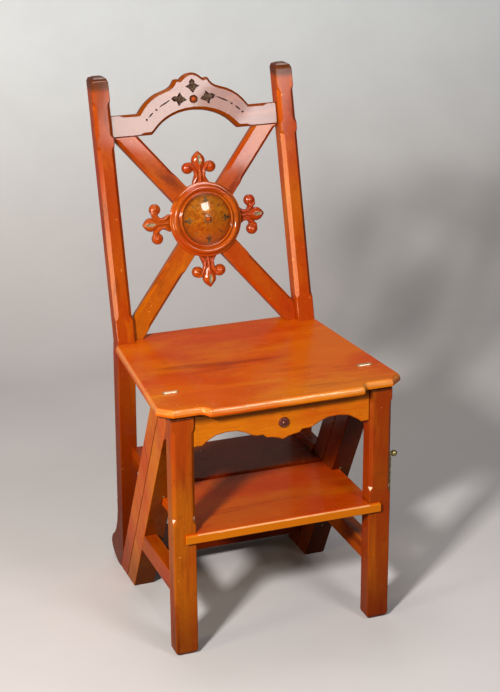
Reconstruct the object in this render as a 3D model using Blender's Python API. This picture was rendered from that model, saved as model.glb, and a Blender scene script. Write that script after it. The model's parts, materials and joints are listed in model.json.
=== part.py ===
"""Library step chair: a side chair whose seat and back fold over to make four steps.

The front legs, lower strings, first tread and front seat strip stand still. Everything behind the
hinge line (main seat, posts, upper strings, two treads and the carved back) turns over forwards by
half a turn. Lengths are in metres, +Z is up, the front of the chair faces -Y.
"""
import math

import bmesh
import bpy
from mathutils import Matrix, Vector

# Driving sizes of the whole chair
SEAT_HEIGHT = 0.457
FRAME_WIDTH = 0.396
HINGE_SETBACK = 0.0715
STRING_FOOT_SETBACK = 0.317
BACK_RAKE = 0.262
POST_SETBACK = 0.325
FIT = 0.0003
AXIS_LIFT = 0.0002
CUT_OVERRUN = 0.004
EASE = 0.0012

# Seat boards
BOARD_THICKNESS = 0.018
SEAT_FRONT_WIDTH = 0.438
SEAT_REAR_WIDTH = 0.384
SEAT_REAR_SETBACK = 0.366
SEAT_CORNER_OVERHANG = 0.006
SEAT_MIDDLE_OVERHANG = 0.0222
SEAT_CLIP_WIDTH = 0.0235
SEAT_CLIP_DEPTH = 0.021
SEAT_STEP_START = 0.146
SEAT_STEP_WIDTH = 0.0085
MOULD_FLAT = 0.0045
MOULD_QUIRK = 0.0011
MOULD_ROUND = 0.0052
MOULD_EDGE = 0.0125
MOULD_UNDERCUT = 0.007

# Front legs
LEG_WIDTH = 0.040
LEG_DEPTH = 0.0305
LEG_CHAMFER = 0.0055
LEG_CHAMFER_ABOVE_TREAD = 0.022
LEG_CHAMFER_BELOW_SEAT = 0.027
CHAMFER_STOP = 0.008
FOOT_ROUND = 0.0015

# Strings, the slanting members that carry the treads
STRING_INSET = 0.008
STRING_WIDTH = 0.039
LOWER_STRING_DEPTH = 0.039
UPPER_STRING_DEPTH = 0.0385

# Lower side rails and the gussets at the top of the side frames
BRACE_TOP = 0.137
BRACE_HEIGHT = 0.0355
BRACE_WIDTH = 0.024
GUSSET_WIDTH = 0.030
GUSSET_DROP = 0.068
GUSSET_ARCH = 0.012
GUSSET_SEGMENTS = 6

# Treads
TREAD_THICKNESS = 0.0175
TREAD_HOUSING = 0.017
LOWER_TREAD_TOP = 0.230
LOWER_TREAD_NOSE = 0.0066
LOWER_TREAD_HORN = 0.020
MIDDLE_TREAD_BOTTOM = 0.214
MIDDLE_TREAD_REAR = 0.352
TOP_TREAD_BOTTOM = 0.0376
TOP_TREAD_REAR = 0.392
BATTEN_HEIGHT = 0.019
BATTEN_WIDTH = 0.020

# Apron between the front legs
APRON_THICKNESS = 0.018
APRON_SETBACK = 0.004
APRON_DROP = 0.066
APRON_CHAMFER = 0.0022
APRON_BOSS_RADIUS = 0.0095
APRON_BOSS_HEIGHT = 0.007
APRON_BOSS_DROP = 0.034

# Rear posts: back leg and stile in one bent piece
POST_WIDTH = 0.032
POST_DEPTH = 0.031
LEG_LEAN = 0.012
POST_BEND_BELOW = 0.006
KNEE_FORWARD = 0.0042
KICK_HEIGHT = 0.135
KICK_LENGTH = 0.0475
POST_TOP_ROUND = 0.009
POST_CHAMFER = 0.0065
POST_CHAMFER_LOW = 0.050
POST_CHAMFER_GAP_LOW = 0.345
POST_CHAMFER_GAP_HIGH = 0.372
POST_CHAMFER_HIGH = 0.424

# Carved back, measured along the raked plane from the seat top
BACK_SETBACK = 0.012
SALTIRE_THICKNESS = 0.018
SALTIRE_WIDTH = 0.0365
SALTIRE_CENTRE = 0.2025
SALTIRE_ANGLE = 50.8
SALTIRE_CHAMFER = 0.0055
SALTIRE_CHAMFER_INNER = 0.105
SALTIRE_CHAMFER_OUTER = 0.215
CREST_APEX = 0.4705
CREST_HEIGHT = 0.105
CREST_SHOULDER_DROP = 0.0655
CREST_ARCH_DROP = 0.0665
CREST_SPRING_WIDTH = 0.105
CREST_CHAMFER = 0.0045
CREST_ARCH_LOW_WIDTH = 0.0825
CREST_TOP_STOP = 0.133
CREST_LOW_STOP = 0.098

# Turned boss and its ornament
BOSS_LIFT = 0.003
BOSS_RADIUS = 0.068
BOSS_THICKNESS = 0.0125
DOME_RADIUS = 0.0455
DOME_RISE = 0.0095
DOME_SEAT = 0.004
KNOB_RADIUS = 0.0055
KNOB_RISE = 0.0045
BOSS_SEGMENTS = 40
FLEURON_LENGTH = 0.0556
FLEURON_SIDE_LENGTH = 0.0482
FLEURON_HALF_WIDTH = 0.0318
FLEURON_SPREAD = 0.0216
FLEURON_SIDE_SPREAD = 0.0262
FLEURON_THICKNESS = 0.014
FLEURON_ROOT = 0.0125
FLEURON_EDGE = 0.003
FLEURON_BALL = 0.0104
BUTTON_RADIUS = 0.0062
BUTTON_RISE = 0.0042
LEAF_LENGTH = 0.025
LEAF_HALF_WIDTH = 0.0118
LEAF_THICKNESS = 0.0009
LEAF_TOP_RISE = 0.0112
LEAF_SIDE_OFFSET = 0.013
LEAF_SIDE_DROP = 0.0005
LEAF_TURN = 81.0
BUTTON_BELOW_APEX = 0.048

# Brass butt hinges
HINGE_LENGTH = 0.026
HINGE_CENTRE = 0.176
HINGE_BARREL = 0.0034
HINGE_PIN = 0.0016
HINGE_LEAF = 0.0016
HINGE_LEAF_DROP = 0.0155
HINGE_SEGMENTS = 16

# Brass side hook and the stud that it catches
CATCH_BELOW_SEAT = 0.1475
CATCH_SETBACK = 0.016
CATCH_PLATE_LENGTH = 0.033
CATCH_PLATE_WIDTH = 0.016
CATCH_PLATE_THICKNESS = 0.0015
CATCH_ARM_THICKNESS = 0.0028
CATCH_ARM_WIDTH = 0.010
CATCH_BEAK = 0.007
CATCH_STEM = 0.0022
CATCH_BALL = 0.0058
CATCH_CLEARANCE = 0.0005
STUD_EDGE = 0.0075
STUD_RADIUS = 0.0024
STUD_HEAD = 0.0042
STUD_HEAD_THICKNESS = 0.0016

# Derived places
SEAT_TOP = SEAT_HEIGHT
SEAT_UNDER = SEAT_HEIGHT - BOARD_THICKNESS
LEG_CHAMFER_START = LOWER_TREAD_TOP + LEG_CHAMFER_ABOVE_TREAD
LEG_CHAMFER_END = SEAT_UNDER - LEG_CHAMFER_BELOW_SEAT
GUSSET_BOTTOM = SEAT_UNDER - GUSSET_DROP
CREST_LOW = CREST_APEX - CREST_HEIGHT
CREST_SHOULDER = CREST_APEX - CREST_SHOULDER_DROP
CREST_ARCH_TOP = CREST_APEX - CREST_ARCH_DROP
BUTTON_CENTRE = CREST_APEX - BUTTON_BELOW_APEX
CATCH_HEIGHT = SEAT_HEIGHT - CATCH_BELOW_SEAT
AXIS_Z = SEAT_HEIGHT + AXIS_LIFT
TOTAL_HEIGHT = SEAT_HEIGHT * 2
RAKE_ANGLE = math.atan(BACK_RAKE)
SPLIT_SLOPE = (STRING_FOOT_SETBACK - HINGE_SETBACK) / AXIS_Z
SPLIT_STRETCH = math.sqrt(1.0 + SPLIT_SLOPE * SPLIT_SLOPE)
LEG_OUTER = FRAME_WIDTH / 2
LEG_INNER = LEG_OUTER - LEG_WIDTH
STRING_OUTER = LEG_OUTER - STRING_INSET
STRING_INNER = STRING_OUTER - STRING_WIDTH
POST_OUTER = STRING_OUTER
POST_INNER = POST_OUTER - POST_WIDTH
POST_BACK = POST_SETBACK + POST_DEPTH
LOWER_STRING_RUN = LOWER_STRING_DEPTH * SPLIT_STRETCH
UPPER_STRING_RUN = UPPER_STRING_DEPTH * SPLIT_STRETCH
HALF_FIT = FIT / 2
STILE_TOP_V = (TOTAL_HEIGHT - SEAT_TOP) / math.cos(RAKE_ANGLE)
OVERALL_FRONT = -SEAT_MIDDLE_OVERHANG
OVERALL_REAR = POST_BACK + BACK_RAKE * (STILE_TOP_V - POST_TOP_ROUND) * math.cos(RAKE_ANGLE)
MIDDLE_Y = (OVERALL_FRONT + OVERALL_REAR) / 2
BOSS_CENTRE = SALTIRE_CENTRE + BOSS_LIFT
SALTIRE_FRONT = -BACK_SETBACK
SALTIRE_BACK = -BACK_SETBACK - SALTIRE_THICKNESS
BOSS_BACK = SALTIRE_FRONT + FIT
FLEURON_BACK = SALTIRE_FRONT - FLEURON_THICKNESS
SPLIT_ANGLE = math.atan(SPLIT_SLOPE)


def split_y(z):
    """Setback of the sloping joint between the two strings at the height z."""
    return HINGE_SETBACK + (AXIS_Z - z) * SPLIT_SLOPE


CATCH_REACH = (split_y(CATCH_HEIGHT) - CATCH_SETBACK) / SPLIT_STRETCH + STUD_EDGE
CATCH_SWING = math.pi / 2 + SPLIT_ANGLE

# Share tables: outline points as shares of the sizes that carry them
APRON_HALF_SHARES = (
    (1.00, 0.845), (0.905, 0.845), (0.87, 0.77), (0.82, 0.70), (0.755, 0.615), (0.64, 0.575),
    (0.52, 0.585), (0.43, 0.66), (0.345, 0.765), (0.30, 0.80), (0.225, 0.80), (0.185, 0.885),
    (0.12, 0.905), (0.06, 0.94), (0.00, 1.00),
)
CREST_OGEE_SHARES = (
    (0.00, 1.000), (0.05, 0.991), (0.10, 0.962), (0.145, 0.917), (0.186, 0.860), (0.215, 0.828), (0.25, 0.845),
    (0.287, 0.853), (0.317, 0.80), (0.338, 0.740), (0.376, 0.672), (0.438, 0.611), (0.533, 0.562), (0.638, 0.505),
    (0.733, 0.425), (0.829, 0.315), (0.914, 0.180), (1.00, 0.00),
)
CREST_ARCH_SHARES = (
    (1.00, 0.00), (0.93, 0.14), (0.84, 0.34), (0.74, 0.52), (0.62, 0.68), (0.50, 0.80), (0.36, 0.90),
    (0.20, 0.97), (0.00, 1.0),
)
BOSS_PROFILE_SHARES = (
    (1.00, 0.00), (1.00, 0.26), (0.985, 0.32), (0.945, 0.34), (0.930, 0.48), (0.922, 0.68), (0.895, 0.85),
    (0.855, 0.93), (0.805, 0.91), (0.77, 0.80), (0.755, 0.72), (0.74, 0.77), (0.725, 0.94), (0.705, 1.00),
    (0.687, 0.95), (0.68, 0.70),
)
DOME_PROFILE_SHARES = (
    (1.00, -0.30), (1.00, 0.10), (0.975, 0.28), (0.90, 0.52), (0.78, 0.72), (0.62, 0.86), (0.42, 0.95),
    (0.20, 0.99), (0.12, 1.00),
)
KNOB_PROFILE_SHARES = (
    (0.55, -0.20), (0.55, 0.10), (0.90, 0.25), (1.00, 0.50), (0.85, 0.80), (0.45, 1.00), (0.18, 0.95),
)
BUTTON_PROFILE_SHARES = (
    (0.92, -0.20), (1.00, 0.20), (0.88, 0.55), (0.62, 0.60), (0.50, 0.85), (0.22, 1.00),
)
LEAF_HALF_SHARES = (
    (0.00, 0.00), (0.20, 0.12), (0.40, 0.27), (0.64, 0.38), (1.00, 0.47), (0.66, 0.56), (0.34, 0.64),
    (0.40, 0.79), (0.26, 0.90), (0.00, 1.00),
)
KICK_SHARES = (
    (0.00, 1.000), (-0.02, 0.840), (0.10, 0.655), (0.30, 0.500), (0.54, 0.405), (0.80, 0.335), (0.94, 0.275),
    (1.00, 0.210), (0.94, 0.145), (0.72, 0.082), (0.45, 0.036), (0.20, 0.008), (0.00, 0.000),
)
FLEURON_STEM_SHARES = ((0.46, 0.02), (0.38, 0.12), (0.30, 0.25), (0.31, 0.34))
FLEURON_LOBE_SHARES = ((0.34, 0.60), (0.40, 0.70), (0.34, 0.82), (0.19, 0.92), (0.00, 1.00))
FLEURON_BALL_SHARE = 0.475


def clear_scene():
    """Remove every object that the scene holds."""
    for item in list(bpy.data.objects):
        bpy.data.objects.remove(item, do_unlink=True)


def make_material(name, colour, roughness, metallic=0.0):
    """Principled material with the colour that the real surface shows."""
    material = bpy.data.materials.new(name)
    material.use_nodes = True
    shader = material.node_tree.nodes["Principled BSDF"]
    shader.inputs["Base Color"].default_value = (*colour, 1.0)
    shader.inputs["Roughness"].default_value = roughness
    shader.inputs["Metallic"].default_value = metallic
    return material


def add_empty(name, place, parent=None):
    """Empty that carries other objects."""
    empty = bpy.data.objects.new(name, None)
    bpy.context.scene.collection.objects.link(empty)
    empty.location = place
    empty.parent = parent
    return empty


def add_piece(name, bm, finish, carrier, origin=(0.0, 0.0, 0.0), smooth=False):
    """Turn a mesh in chair coordinates into an object that hangs on its carrier.

    The origin is the carrier's own place, so the mesh is stored relative to it.
    """
    bmesh.ops.remove_doubles(bm, verts=bm.verts, dist=FIT / 30)
    bmesh.ops.recalc_face_normals(bm, faces=bm.faces)
    bmesh.ops.translate(bm, verts=bm.verts, vec=-Vector(origin))
    mesh = bpy.data.meshes.new(name)
    bm.to_mesh(mesh)
    bm.free()
    if smooth:
        mesh.shade_smooth()
        mesh.set_sharp_from_angle(angle=math.radians(35))
    piece = bpy.data.objects.new(name, mesh)
    piece.data.materials.append(make_material(name + "_finish", *finish))
    bpy.context.scene.collection.objects.link(piece)
    piece.parent = carrier
    return piece


def cut(piece, bm, label, operation="DIFFERENCE"):
    """Boolean that takes the shape in bm, in chair coordinates, out of a piece."""
    bmesh.ops.recalc_face_normals(bm, faces=bm.faces)
    mesh = bpy.data.meshes.new(piece.name + label)
    bm.to_mesh(mesh)
    bm.free()
    cutter = bpy.data.objects.new(piece.name + label, mesh)
    bpy.context.scene.collection.objects.link(cutter)
    cutter.parent = STATE["chair"]
    cutter.hide_render = True
    cutter.display_type = "WIRE"
    modifier = piece.modifiers.new(label.strip("_"), "BOOLEAN")
    modifier.operation = operation
    modifier.solver = "EXACT"
    modifier.object = cutter


def prism(outline, place):
    """Closed solid between two copies of an outline.

    place(a, b, end) gives the chair coordinates of an outline point at end 0 or 1.
    """
    bm = bmesh.new()
    near = [bm.verts.new(place(a, b, 0)) for a, b in outline]
    far = [bm.verts.new(place(a, b, 1)) for a, b in outline]
    count = len(outline)
    bm.faces.new(near)
    bm.faces.new(list(reversed(far)))
    for index in range(count):
        after = (index + 1) % count
        bm.faces.new((near[after], near[index], far[index], far[after]))
    return bm


def side_prism(outline, inner, outer):
    """Prism whose outline lies in a side view (setback, height), between two X values."""
    return prism(outline, lambda a, b, end: (outer if end else inner, a, b))


def box(low, high):
    """Rectangular solid between two corners."""
    outline = ((low[1], low[2]), (high[1], low[2]), (high[1], high[2]), (low[1], high[2]))
    return side_prism(outline, low[0], high[0])


def loft(sections):
    """Solid through a row of sections that all have the same number of points."""
    bm = bmesh.new()
    rings = [[bm.verts.new(point) for point in section] for section in sections]
    count = len(rings[0])
    for first, second in zip(rings, rings[1:]):
        for index in range(count):
            after = (index + 1) % count
            bm.faces.new((first[index], first[after], second[after], second[index]))
    bm.faces.new(list(reversed(rings[0])))
    bm.faces.new(rings[-1])
    return bm


def inset_outline(outline, distance):
    """Outline moved inwards, each corner along its mitre; the outline runs anticlockwise."""
    moved = []
    count = len(outline)
    for index in range(count):
        before = Vector(outline[index - 1])
        here = Vector(outline[index])
        after = Vector(outline[(index + 1) % count])
        into = (here - before).normalized()
        away = (after - here).normalized()
        normal_in = Vector((-into.y, into.x))
        normal_out = Vector((-away.y, away.x))
        mitre = (normal_in + normal_out).normalized()
        stretch = max(mitre.dot(normal_in), math.cos(math.radians(62)))
        moved.append(tuple(here + mitre * (distance / stretch)))
    return moved


def mirrored(half):
    """Close a right-hand half outline, which runs from bottom to top, with its mirror image."""
    left = [(-a, b) for a, b in reversed(half)]
    joined = []
    for point in list(half) + left:
        if not joined or (Vector(point) - Vector(joined[-1])).length > FIT / 10:
            joined.append(point)
    if (Vector(joined[0]) - Vector(joined[-1])).length < FIT / 10:
        joined.pop()
    return joined


def arc_points(centre, radius, start, end, steps):
    """Points on an arc, with the angles in degrees."""
    points = []
    for index in range(steps + 1):
        angle = math.radians(start + (end - start) * index / steps)
        points.append((centre[0] + radius * math.cos(angle), centre[1] + radius * math.sin(angle)))
    return points


def turned(profile, segments):
    """Solid of revolution round the local Z axis from (radius, height) points."""
    bm = bmesh.new()
    rings = []
    for radius, height in profile:
        ring = []
        for index in range(segments):
            angle = math.tau * index / segments
            ring.append(bm.verts.new((radius * math.cos(angle), radius * math.sin(angle), height)))
        rings.append(ring)
    for first, second in zip(rings, rings[1:]):
        for index in range(segments):
            after = (index + 1) % segments
            bm.faces.new((first[index], first[after], second[after], second[index]))
    bm.faces.new(list(reversed(rings[0])))
    bm.faces.new(rings[-1])
    return bm


def trim(bm, point, normal):
    """Cut a convex solid with a plane and close it; the side that the normal points to goes."""
    geometry = list(bm.verts) + list(bm.edges) + list(bm.faces)
    cut_result = bmesh.ops.bisect_plane(bm, geom=geometry, dist=FIT / 100, plane_co=point,
                                        plane_no=normal, clear_outer=True)
    rim = [item for item in cut_result["geom_cut"] if isinstance(item, bmesh.types.BMEdge)]
    bmesh.ops.edgenet_fill(bm, edges=rim)
    return bm


def back_point(u, v, n):
    """Chair coordinates of a point on the raked back: across, along the rake, and forwards."""
    return (u,
            POST_SETBACK + v * math.sin(RAKE_ANGLE) - n * math.cos(RAKE_ANGLE),
            SEAT_TOP + v * math.cos(RAKE_ANGLE) + n * math.sin(RAKE_ANGLE))


def back_matrix(u, v, n, turn=0.0):
    """Frame on the raked back whose Z axis points forwards out of it, turned in its own plane."""
    across = Vector((1.0, 0.0, 0.0))
    along = Vector((0.0, math.sin(RAKE_ANGLE), math.cos(RAKE_ANGLE)))
    forward = Vector((0.0, -math.cos(RAKE_ANGLE), math.sin(RAKE_ANGLE)))
    frame = Matrix((across, along, forward)).transposed().to_4x4()
    return Matrix.Translation(back_point(u, v, n)) @ frame @ Matrix.Rotation(turn, 4, "Z")


def front_matrix(x, y, z):
    """Frame whose Z axis points to the front of the chair."""
    return Matrix.Translation((x, y, z)) @ Matrix.Rotation(math.pi / 2, 4, "X")


def side_matrix(x, y, z, side):
    """Frame whose Z axis points out to one side of the chair."""
    return Matrix.Translation((x, y, z)) @ Matrix.Rotation(side * math.pi / 2, 4, "Y")


def bar_section(outer, inner, front, rear, chamfer, side):
    """Eight points of a bar's section with eased back edges and given front chamfers."""
    points = [
        (outer, front + chamfer), (outer - side * chamfer, front), (inner + side * chamfer, front),
        (inner, front + chamfer), (inner, rear - EASE), (inner + side * EASE, rear),
        (outer - side * EASE, rear), (outer, rear - EASE),
    ]
    return points


MAHOGANY = ((0.46, 0.085, 0.018), 0.28)
MAHOGANY_TOP = ((0.52, 0.12, 0.022), 0.22)
MAHOGANY_DEEP = ((0.30, 0.040, 0.014), 0.30)
AMBER_WOOD = ((0.42, 0.16, 0.022), 0.18)
EBONISED = ((0.035, 0.022, 0.012), 0.35)
AGED_BRASS = ((0.42, 0.33, 0.11), 0.32, 0.95)
POLISHED_BRASS = ((0.78, 0.62, 0.30), 0.22, 1.0)
STATE = {}
SIDES = (("left", -1), ("right", 1))


def front_leg(name, side):
    """Square front leg with stopped chamfers above the first tread and a worn foot."""
    sections = []
    stations = (
        (0.0, FOOT_ROUND, EASE + FOOT_ROUND),
        (FOOT_ROUND, 0.0, EASE),
        (LEG_CHAMFER_START - CHAMFER_STOP, 0.0, EASE),
        (LEG_CHAMFER_START, 0.0, LEG_CHAMFER),
        (LEG_CHAMFER_END, 0.0, LEG_CHAMFER),
        (LEG_CHAMFER_END + CHAMFER_STOP, 0.0, EASE),
        (SEAT_UNDER - FIT, 0.0, EASE),
    )
    for height, drawn_in, chamfer in stations:
        outline = bar_section(side * (LEG_OUTER - drawn_in), side * (LEG_INNER + drawn_in),
                              drawn_in, LEG_DEPTH - drawn_in, chamfer, side)
        sections.append([(x, y, height) for x, y in outline])
    return add_piece(name, loft(sections), MAHOGANY, STATE["chair"])


def tread_cutter(low, high, housing_end, front, rear):
    """Slot for the end of a tread, with the fit all round."""
    return box((-housing_end - FIT, front, low - FIT), (housing_end + FIT, rear, high + FIT))


def lower_string(name, side):
    """Sloping member that runs from under the front seat strip to the floor behind."""
    rear_top = split_y(SEAT_UNDER) - HALF_FIT * SPLIT_STRETCH
    rear_foot = split_y(0.0) - HALF_FIT * SPLIT_STRETCH
    outline = ((rear_foot - LOWER_STRING_RUN, 0.0), (rear_foot, 0.0),
               (rear_top, SEAT_UNDER - FIT), (rear_top - LOWER_STRING_RUN, SEAT_UNDER - FIT))
    piece = add_piece(name, side_prism(outline, side * STRING_INNER, side * STRING_OUTER),
                      MAHOGANY, STATE["chair"])
    housing = STRING_INNER + TREAD_HOUSING
    cut(piece, tread_cutter(LOWER_TREAD_TOP - TREAD_THICKNESS, LOWER_TREAD_TOP, housing,
                            -CUT_OVERRUN, STRING_FOOT_SETBACK), "_tread_slot")
    return piece


def upper_string(name, side):
    """Sloping member of the folding part, from under the main seat to the floor."""
    front_foot = split_y(0.0) + HALF_FIT * SPLIT_STRETCH
    front_top = split_y(SEAT_UNDER) + HALF_FIT * SPLIT_STRETCH
    outline = ((front_foot, 0.0), (front_foot + UPPER_STRING_RUN, 0.0),
               (front_top + UPPER_STRING_RUN, SEAT_UNDER - FIT), (front_top, SEAT_UNDER - FIT))
    piece = add_piece(name, side_prism(outline, side * STRING_INNER, side * STRING_OUTER),
                      MAHOGANY, STATE["fold"], STATE["fold_place"])
    housing = STRING_INNER + TREAD_HOUSING
    for label, bottom, rear in (("_middle_slot", MIDDLE_TREAD_BOTTOM, MIDDLE_TREAD_REAR),
                                ("_top_slot", TOP_TREAD_BOTTOM, TOP_TREAD_REAR)):
        cut(piece, tread_cutter(bottom, bottom + TREAD_THICKNESS, housing, -CUT_OVERRUN, rear + FIT), label)
    return piece


def side_brace(name, side):
    """Level rail between a front leg and the lower string."""
    low = BRACE_TOP - BRACE_HEIGHT
    gap = LOWER_STRING_RUN + HALF_FIT * SPLIT_STRETCH + FIT * SPLIT_STRETCH
    outline = ((LEG_DEPTH + FIT, low), (split_y(low) - gap, low),
               (split_y(BRACE_TOP) - gap, BRACE_TOP), (LEG_DEPTH + FIT, BRACE_TOP))
    inner = side * (STRING_OUTER - BRACE_WIDTH)
    return add_piece(name, side_prism(outline, inner, side * STRING_OUTER), MAHOGANY, STATE["chair"])


def gusset(name, side):
    """Wedge that fills the angle between a front leg and its string, arched below."""
    gap = LOWER_STRING_RUN + HALF_FIT * SPLIT_STRETCH + FIT * SPLIT_STRETCH
    front = LEG_DEPTH + FIT
    rear = split_y(GUSSET_BOTTOM) - gap
    top = SEAT_UNDER - FIT
    outline = [(front, GUSSET_BOTTOM)]
    for index in range(1, GUSSET_SEGMENTS):
        share = index / GUSSET_SEGMENTS
        rise = GUSSET_ARCH * math.sin(math.pi * share)
        outline.append((front + (rear - front) * share, GUSSET_BOTTOM + rise))
    outline += [(rear, GUSSET_BOTTOM), (split_y(top) - gap, top), (front, top)]
    inner = side * (STRING_OUTER - GUSSET_WIDTH)
    return add_piece(name, side_prism(outline, inner, side * STRING_OUTER), MAHOGANY, STATE["chair"])


def board(outline, low, high, edge):
    """Level board with rounded-over edges above and below."""
    levels = ((low, edge), (low + edge, 0.0), (high - edge, 0.0), (high, edge))
    sections = [[(a, b, height) for a, b in inset_outline(outline, inset)] for height, inset in levels]
    return loft(sections)


def lower_tread():
    """First step: notched round the front legs and let into the lower strings."""
    top = LOWER_TREAD_TOP
    rear = split_y(top) - FIT * SPLIT_STRETCH
    end = STRING_INNER + TREAD_HOUSING
    leg = LEG_INNER - FIT
    half = [(0.0, -LOWER_TREAD_NOSE), (LEG_INNER + LOWER_TREAD_HORN, -LOWER_TREAD_NOSE),
            (LEG_INNER + LOWER_TREAD_HORN, -FIT), (leg, -FIT), (leg, LEG_DEPTH + FIT),
            (end, LEG_DEPTH + FIT), (end, rear), (0.0, rear)]
    bm = board(mirrored(half), top - TREAD_THICKNESS, top, EASE)
    return add_piece("lower_tread", bm, MAHOGANY_TOP, STATE["chair"])


def upper_tread(name, bottom, rear):
    """Step of the folding part; its lower face is trodden on when the chair is turned over."""
    top = bottom + TREAD_THICKNESS
    nose = split_y(bottom) + FIT * SPLIT_STRETCH
    end = STRING_INNER + TREAD_HOUSING
    post_front = leg_front(top) - FIT
    inner = POST_INNER - FIT
    half = [(0.0, nose), (end, nose), (end, post_front), (inner, post_front), (inner, rear), (0.0, rear)]
    bm = board(mirrored(half), bottom, top, EASE)
    return add_piece(name, bm, MAHOGANY_TOP, STATE["fold"], STATE["fold_place"])


def tread_batten(name, side, bottom, outer, rear):
    """Bearer fixed on a folding tread, which carries it when the chair is turned over."""
    top = bottom + BATTEN_HEIGHT
    front = string_rear(bottom)
    outline = ((front, bottom), (rear, bottom), (rear, top), (string_rear(top), top))
    if outer < STRING_INNER:
        front = split_y(bottom) + FIT * SPLIT_STRETCH * 2
        outline = ((front, bottom), (rear, bottom), (rear, top), (front, top))
    bm = side_prism(outline, side * (outer - BATTEN_WIDTH), side * outer)
    return add_piece(name, bm, MAHOGANY, STATE["fold"], STATE["fold_place"])


def apron():
    """Shaped rail between the front legs, with a serpentine lower edge."""
    half_width = LEG_INNER - FIT
    top = SEAT_UNDER - FIT
    half = [(half_width * share, top - APRON_DROP * drop) for share, drop in reversed(APRON_HALF_SHARES)]
    half.append((half_width, top))
    outline = mirrored(half)
    front = APRON_SETBACK
    rear = APRON_SETBACK + APRON_THICKNESS
    levels = ((rear, 0.0), (front + APRON_CHAMFER, 0.0), (front, APRON_CHAMFER))
    sections = [[(a, depth, b) for a, b in inset_outline(outline, inset)] for depth, inset in levels]
    return add_piece("apron", loft(sections), MAHOGANY, STATE["chair"])


def apron_boss():
    """Small turned button in the middle of the apron."""
    profile = [(APRON_BOSS_RADIUS * share, APRON_BOSS_HEIGHT * rise) for share, rise in BUTTON_PROFILE_SHARES]
    profile[0] = (profile[0][0], 0.0)
    bm = turned(profile, BOSS_SEGMENTS // 2)
    place = front_matrix(0.0, APRON_SETBACK - FIT, SEAT_UNDER - APRON_BOSS_DROP)
    bmesh.ops.transform(bm, matrix=place, verts=bm.verts)
    return add_piece("apron_boss", bm, MAHOGANY_DEEP, STATE["chair"], smooth=True)


def seat_outline():
    """Plan of the whole seat, front to back, anticlockwise."""
    front_half = SEAT_FRONT_WIDTH / 2
    rear_half = SEAT_REAR_WIDTH / 2
    corner = -SEAT_CORNER_OVERHANG
    middle = -SEAT_MIDDLE_OVERHANG
    step = SEAT_STEP_START - SEAT_STEP_WIDTH
    quarter = (middle - corner) / 4
    half = [
        (0.0, middle), (step - SEAT_STEP_WIDTH / 2, middle), (step, middle - quarter / 3),
        (step + SEAT_STEP_WIDTH * 2 / 3, corner + quarter), (SEAT_STEP_START, corner + quarter / 3),
        (SEAT_STEP_START + SEAT_STEP_WIDTH / 2, corner),
        (front_half - SEAT_CLIP_WIDTH, corner), (front_half, corner + SEAT_CLIP_DEPTH),
        (rear_half, SEAT_REAR_SETBACK), (0.0, SEAT_REAR_SETBACK),
    ]
    return mirrored(half)


def seat_solid():
    """Whole seat slab with its moulded edge, before it is divided at the hinge line."""
    outline = seat_outline()
    levels = (
        (SEAT_UNDER, MOULD_UNDERCUT),
        (SEAT_TOP - MOULD_EDGE, 0.0),
        (SEAT_TOP - MOULD_QUIRK - MOULD_ROUND, 0.0),
        (SEAT_TOP - MOULD_QUIRK - MOULD_ROUND / 4, MOULD_FLAT / 4),
        (SEAT_TOP - MOULD_QUIRK, MOULD_FLAT * 3 / 4),
        (SEAT_TOP - MOULD_QUIRK, MOULD_FLAT),
        (SEAT_TOP, MOULD_FLAT),
    )
    sections = [[(a, b, height) for a, b in inset_outline(outline, inset)] for height, inset in levels]
    return loft(sections)


def hinge_space(side):
    """Room for one hinge in the edges of the two seat boards."""
    across = HINGE_LENGTH / 2 + FIT
    radius = HINGE_BARREL + FIT * 2
    depth = HINGE_LEAF + FIT * 2
    low = SEAT_TOP - HINGE_LEAF_DROP - FIT
    bm = turned([(radius, -across), (radius, across)], HINGE_SEGMENTS)
    place = side_matrix(side * HINGE_CENTRE, HINGE_SETBACK, AXIS_Z, 1)
    bmesh.ops.transform(bm, matrix=place, verts=bm.verts)
    slot = box((side * HINGE_CENTRE - across, HINGE_SETBACK - depth, low),
               (side * HINGE_CENTRE + across, HINGE_SETBACK + depth, AXIS_Z))
    return bm, slot


def seat_boards():
    """Front strip, which stands still, and main seat, which folds."""
    strip = trim(seat_solid(), (0.0, HINGE_SETBACK - HALF_FIT, 0.0), (0.0, 1.0, 0.0))
    front = add_piece("front_seat_strip", strip, MAHOGANY_TOP, STATE["chair"])
    main = trim(seat_solid(), (0.0, HINGE_SETBACK + HALF_FIT, 0.0), (0.0, -1.0, 0.0))
    seat = add_piece("main_seat", main, MAHOGANY_TOP, STATE["fold"], STATE["fold_place"])
    for label, side in SIDES:
        for board_piece in (front, seat):
            barrel, slot = hinge_space(side)
            cut(board_piece, barrel, "_barrel_" + label)
            cut(board_piece, slot, "_leaf_" + label)
        inner = side * (POST_INNER - FIT)
        outer = side * (SEAT_REAR_WIDTH / 2 + CUT_OVERRUN * 2)
        front_face = min(leg_front(SEAT_UNDER), POST_SETBACK) - FIT
        low = (min(inner, outer), front_face, SEAT_UNDER - CUT_OVERRUN)
        high = (max(inner, outer), SEAT_REAR_SETBACK + CUT_OVERRUN * 2, SEAT_TOP + CUT_OVERRUN)
        cut(seat, box(low, high), "_post_notch_" + label)
    return front, seat


def leg_front(z):
    """Setback of the back leg's front face at the height z, below the seat."""
    bend = SEAT_UNDER - POST_BEND_BELOW
    return POST_SETBACK + KNEE_FORWARD + LEG_LEAN * min(1.0, (bend - z) / bend)


def string_rear(z):
    """Setback of the upper string's back edge at the height z, with the fit behind it."""
    return split_y(z) + HALF_FIT * SPLIT_STRETCH + UPPER_STRING_RUN + FIT * SPLIT_STRETCH


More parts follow.
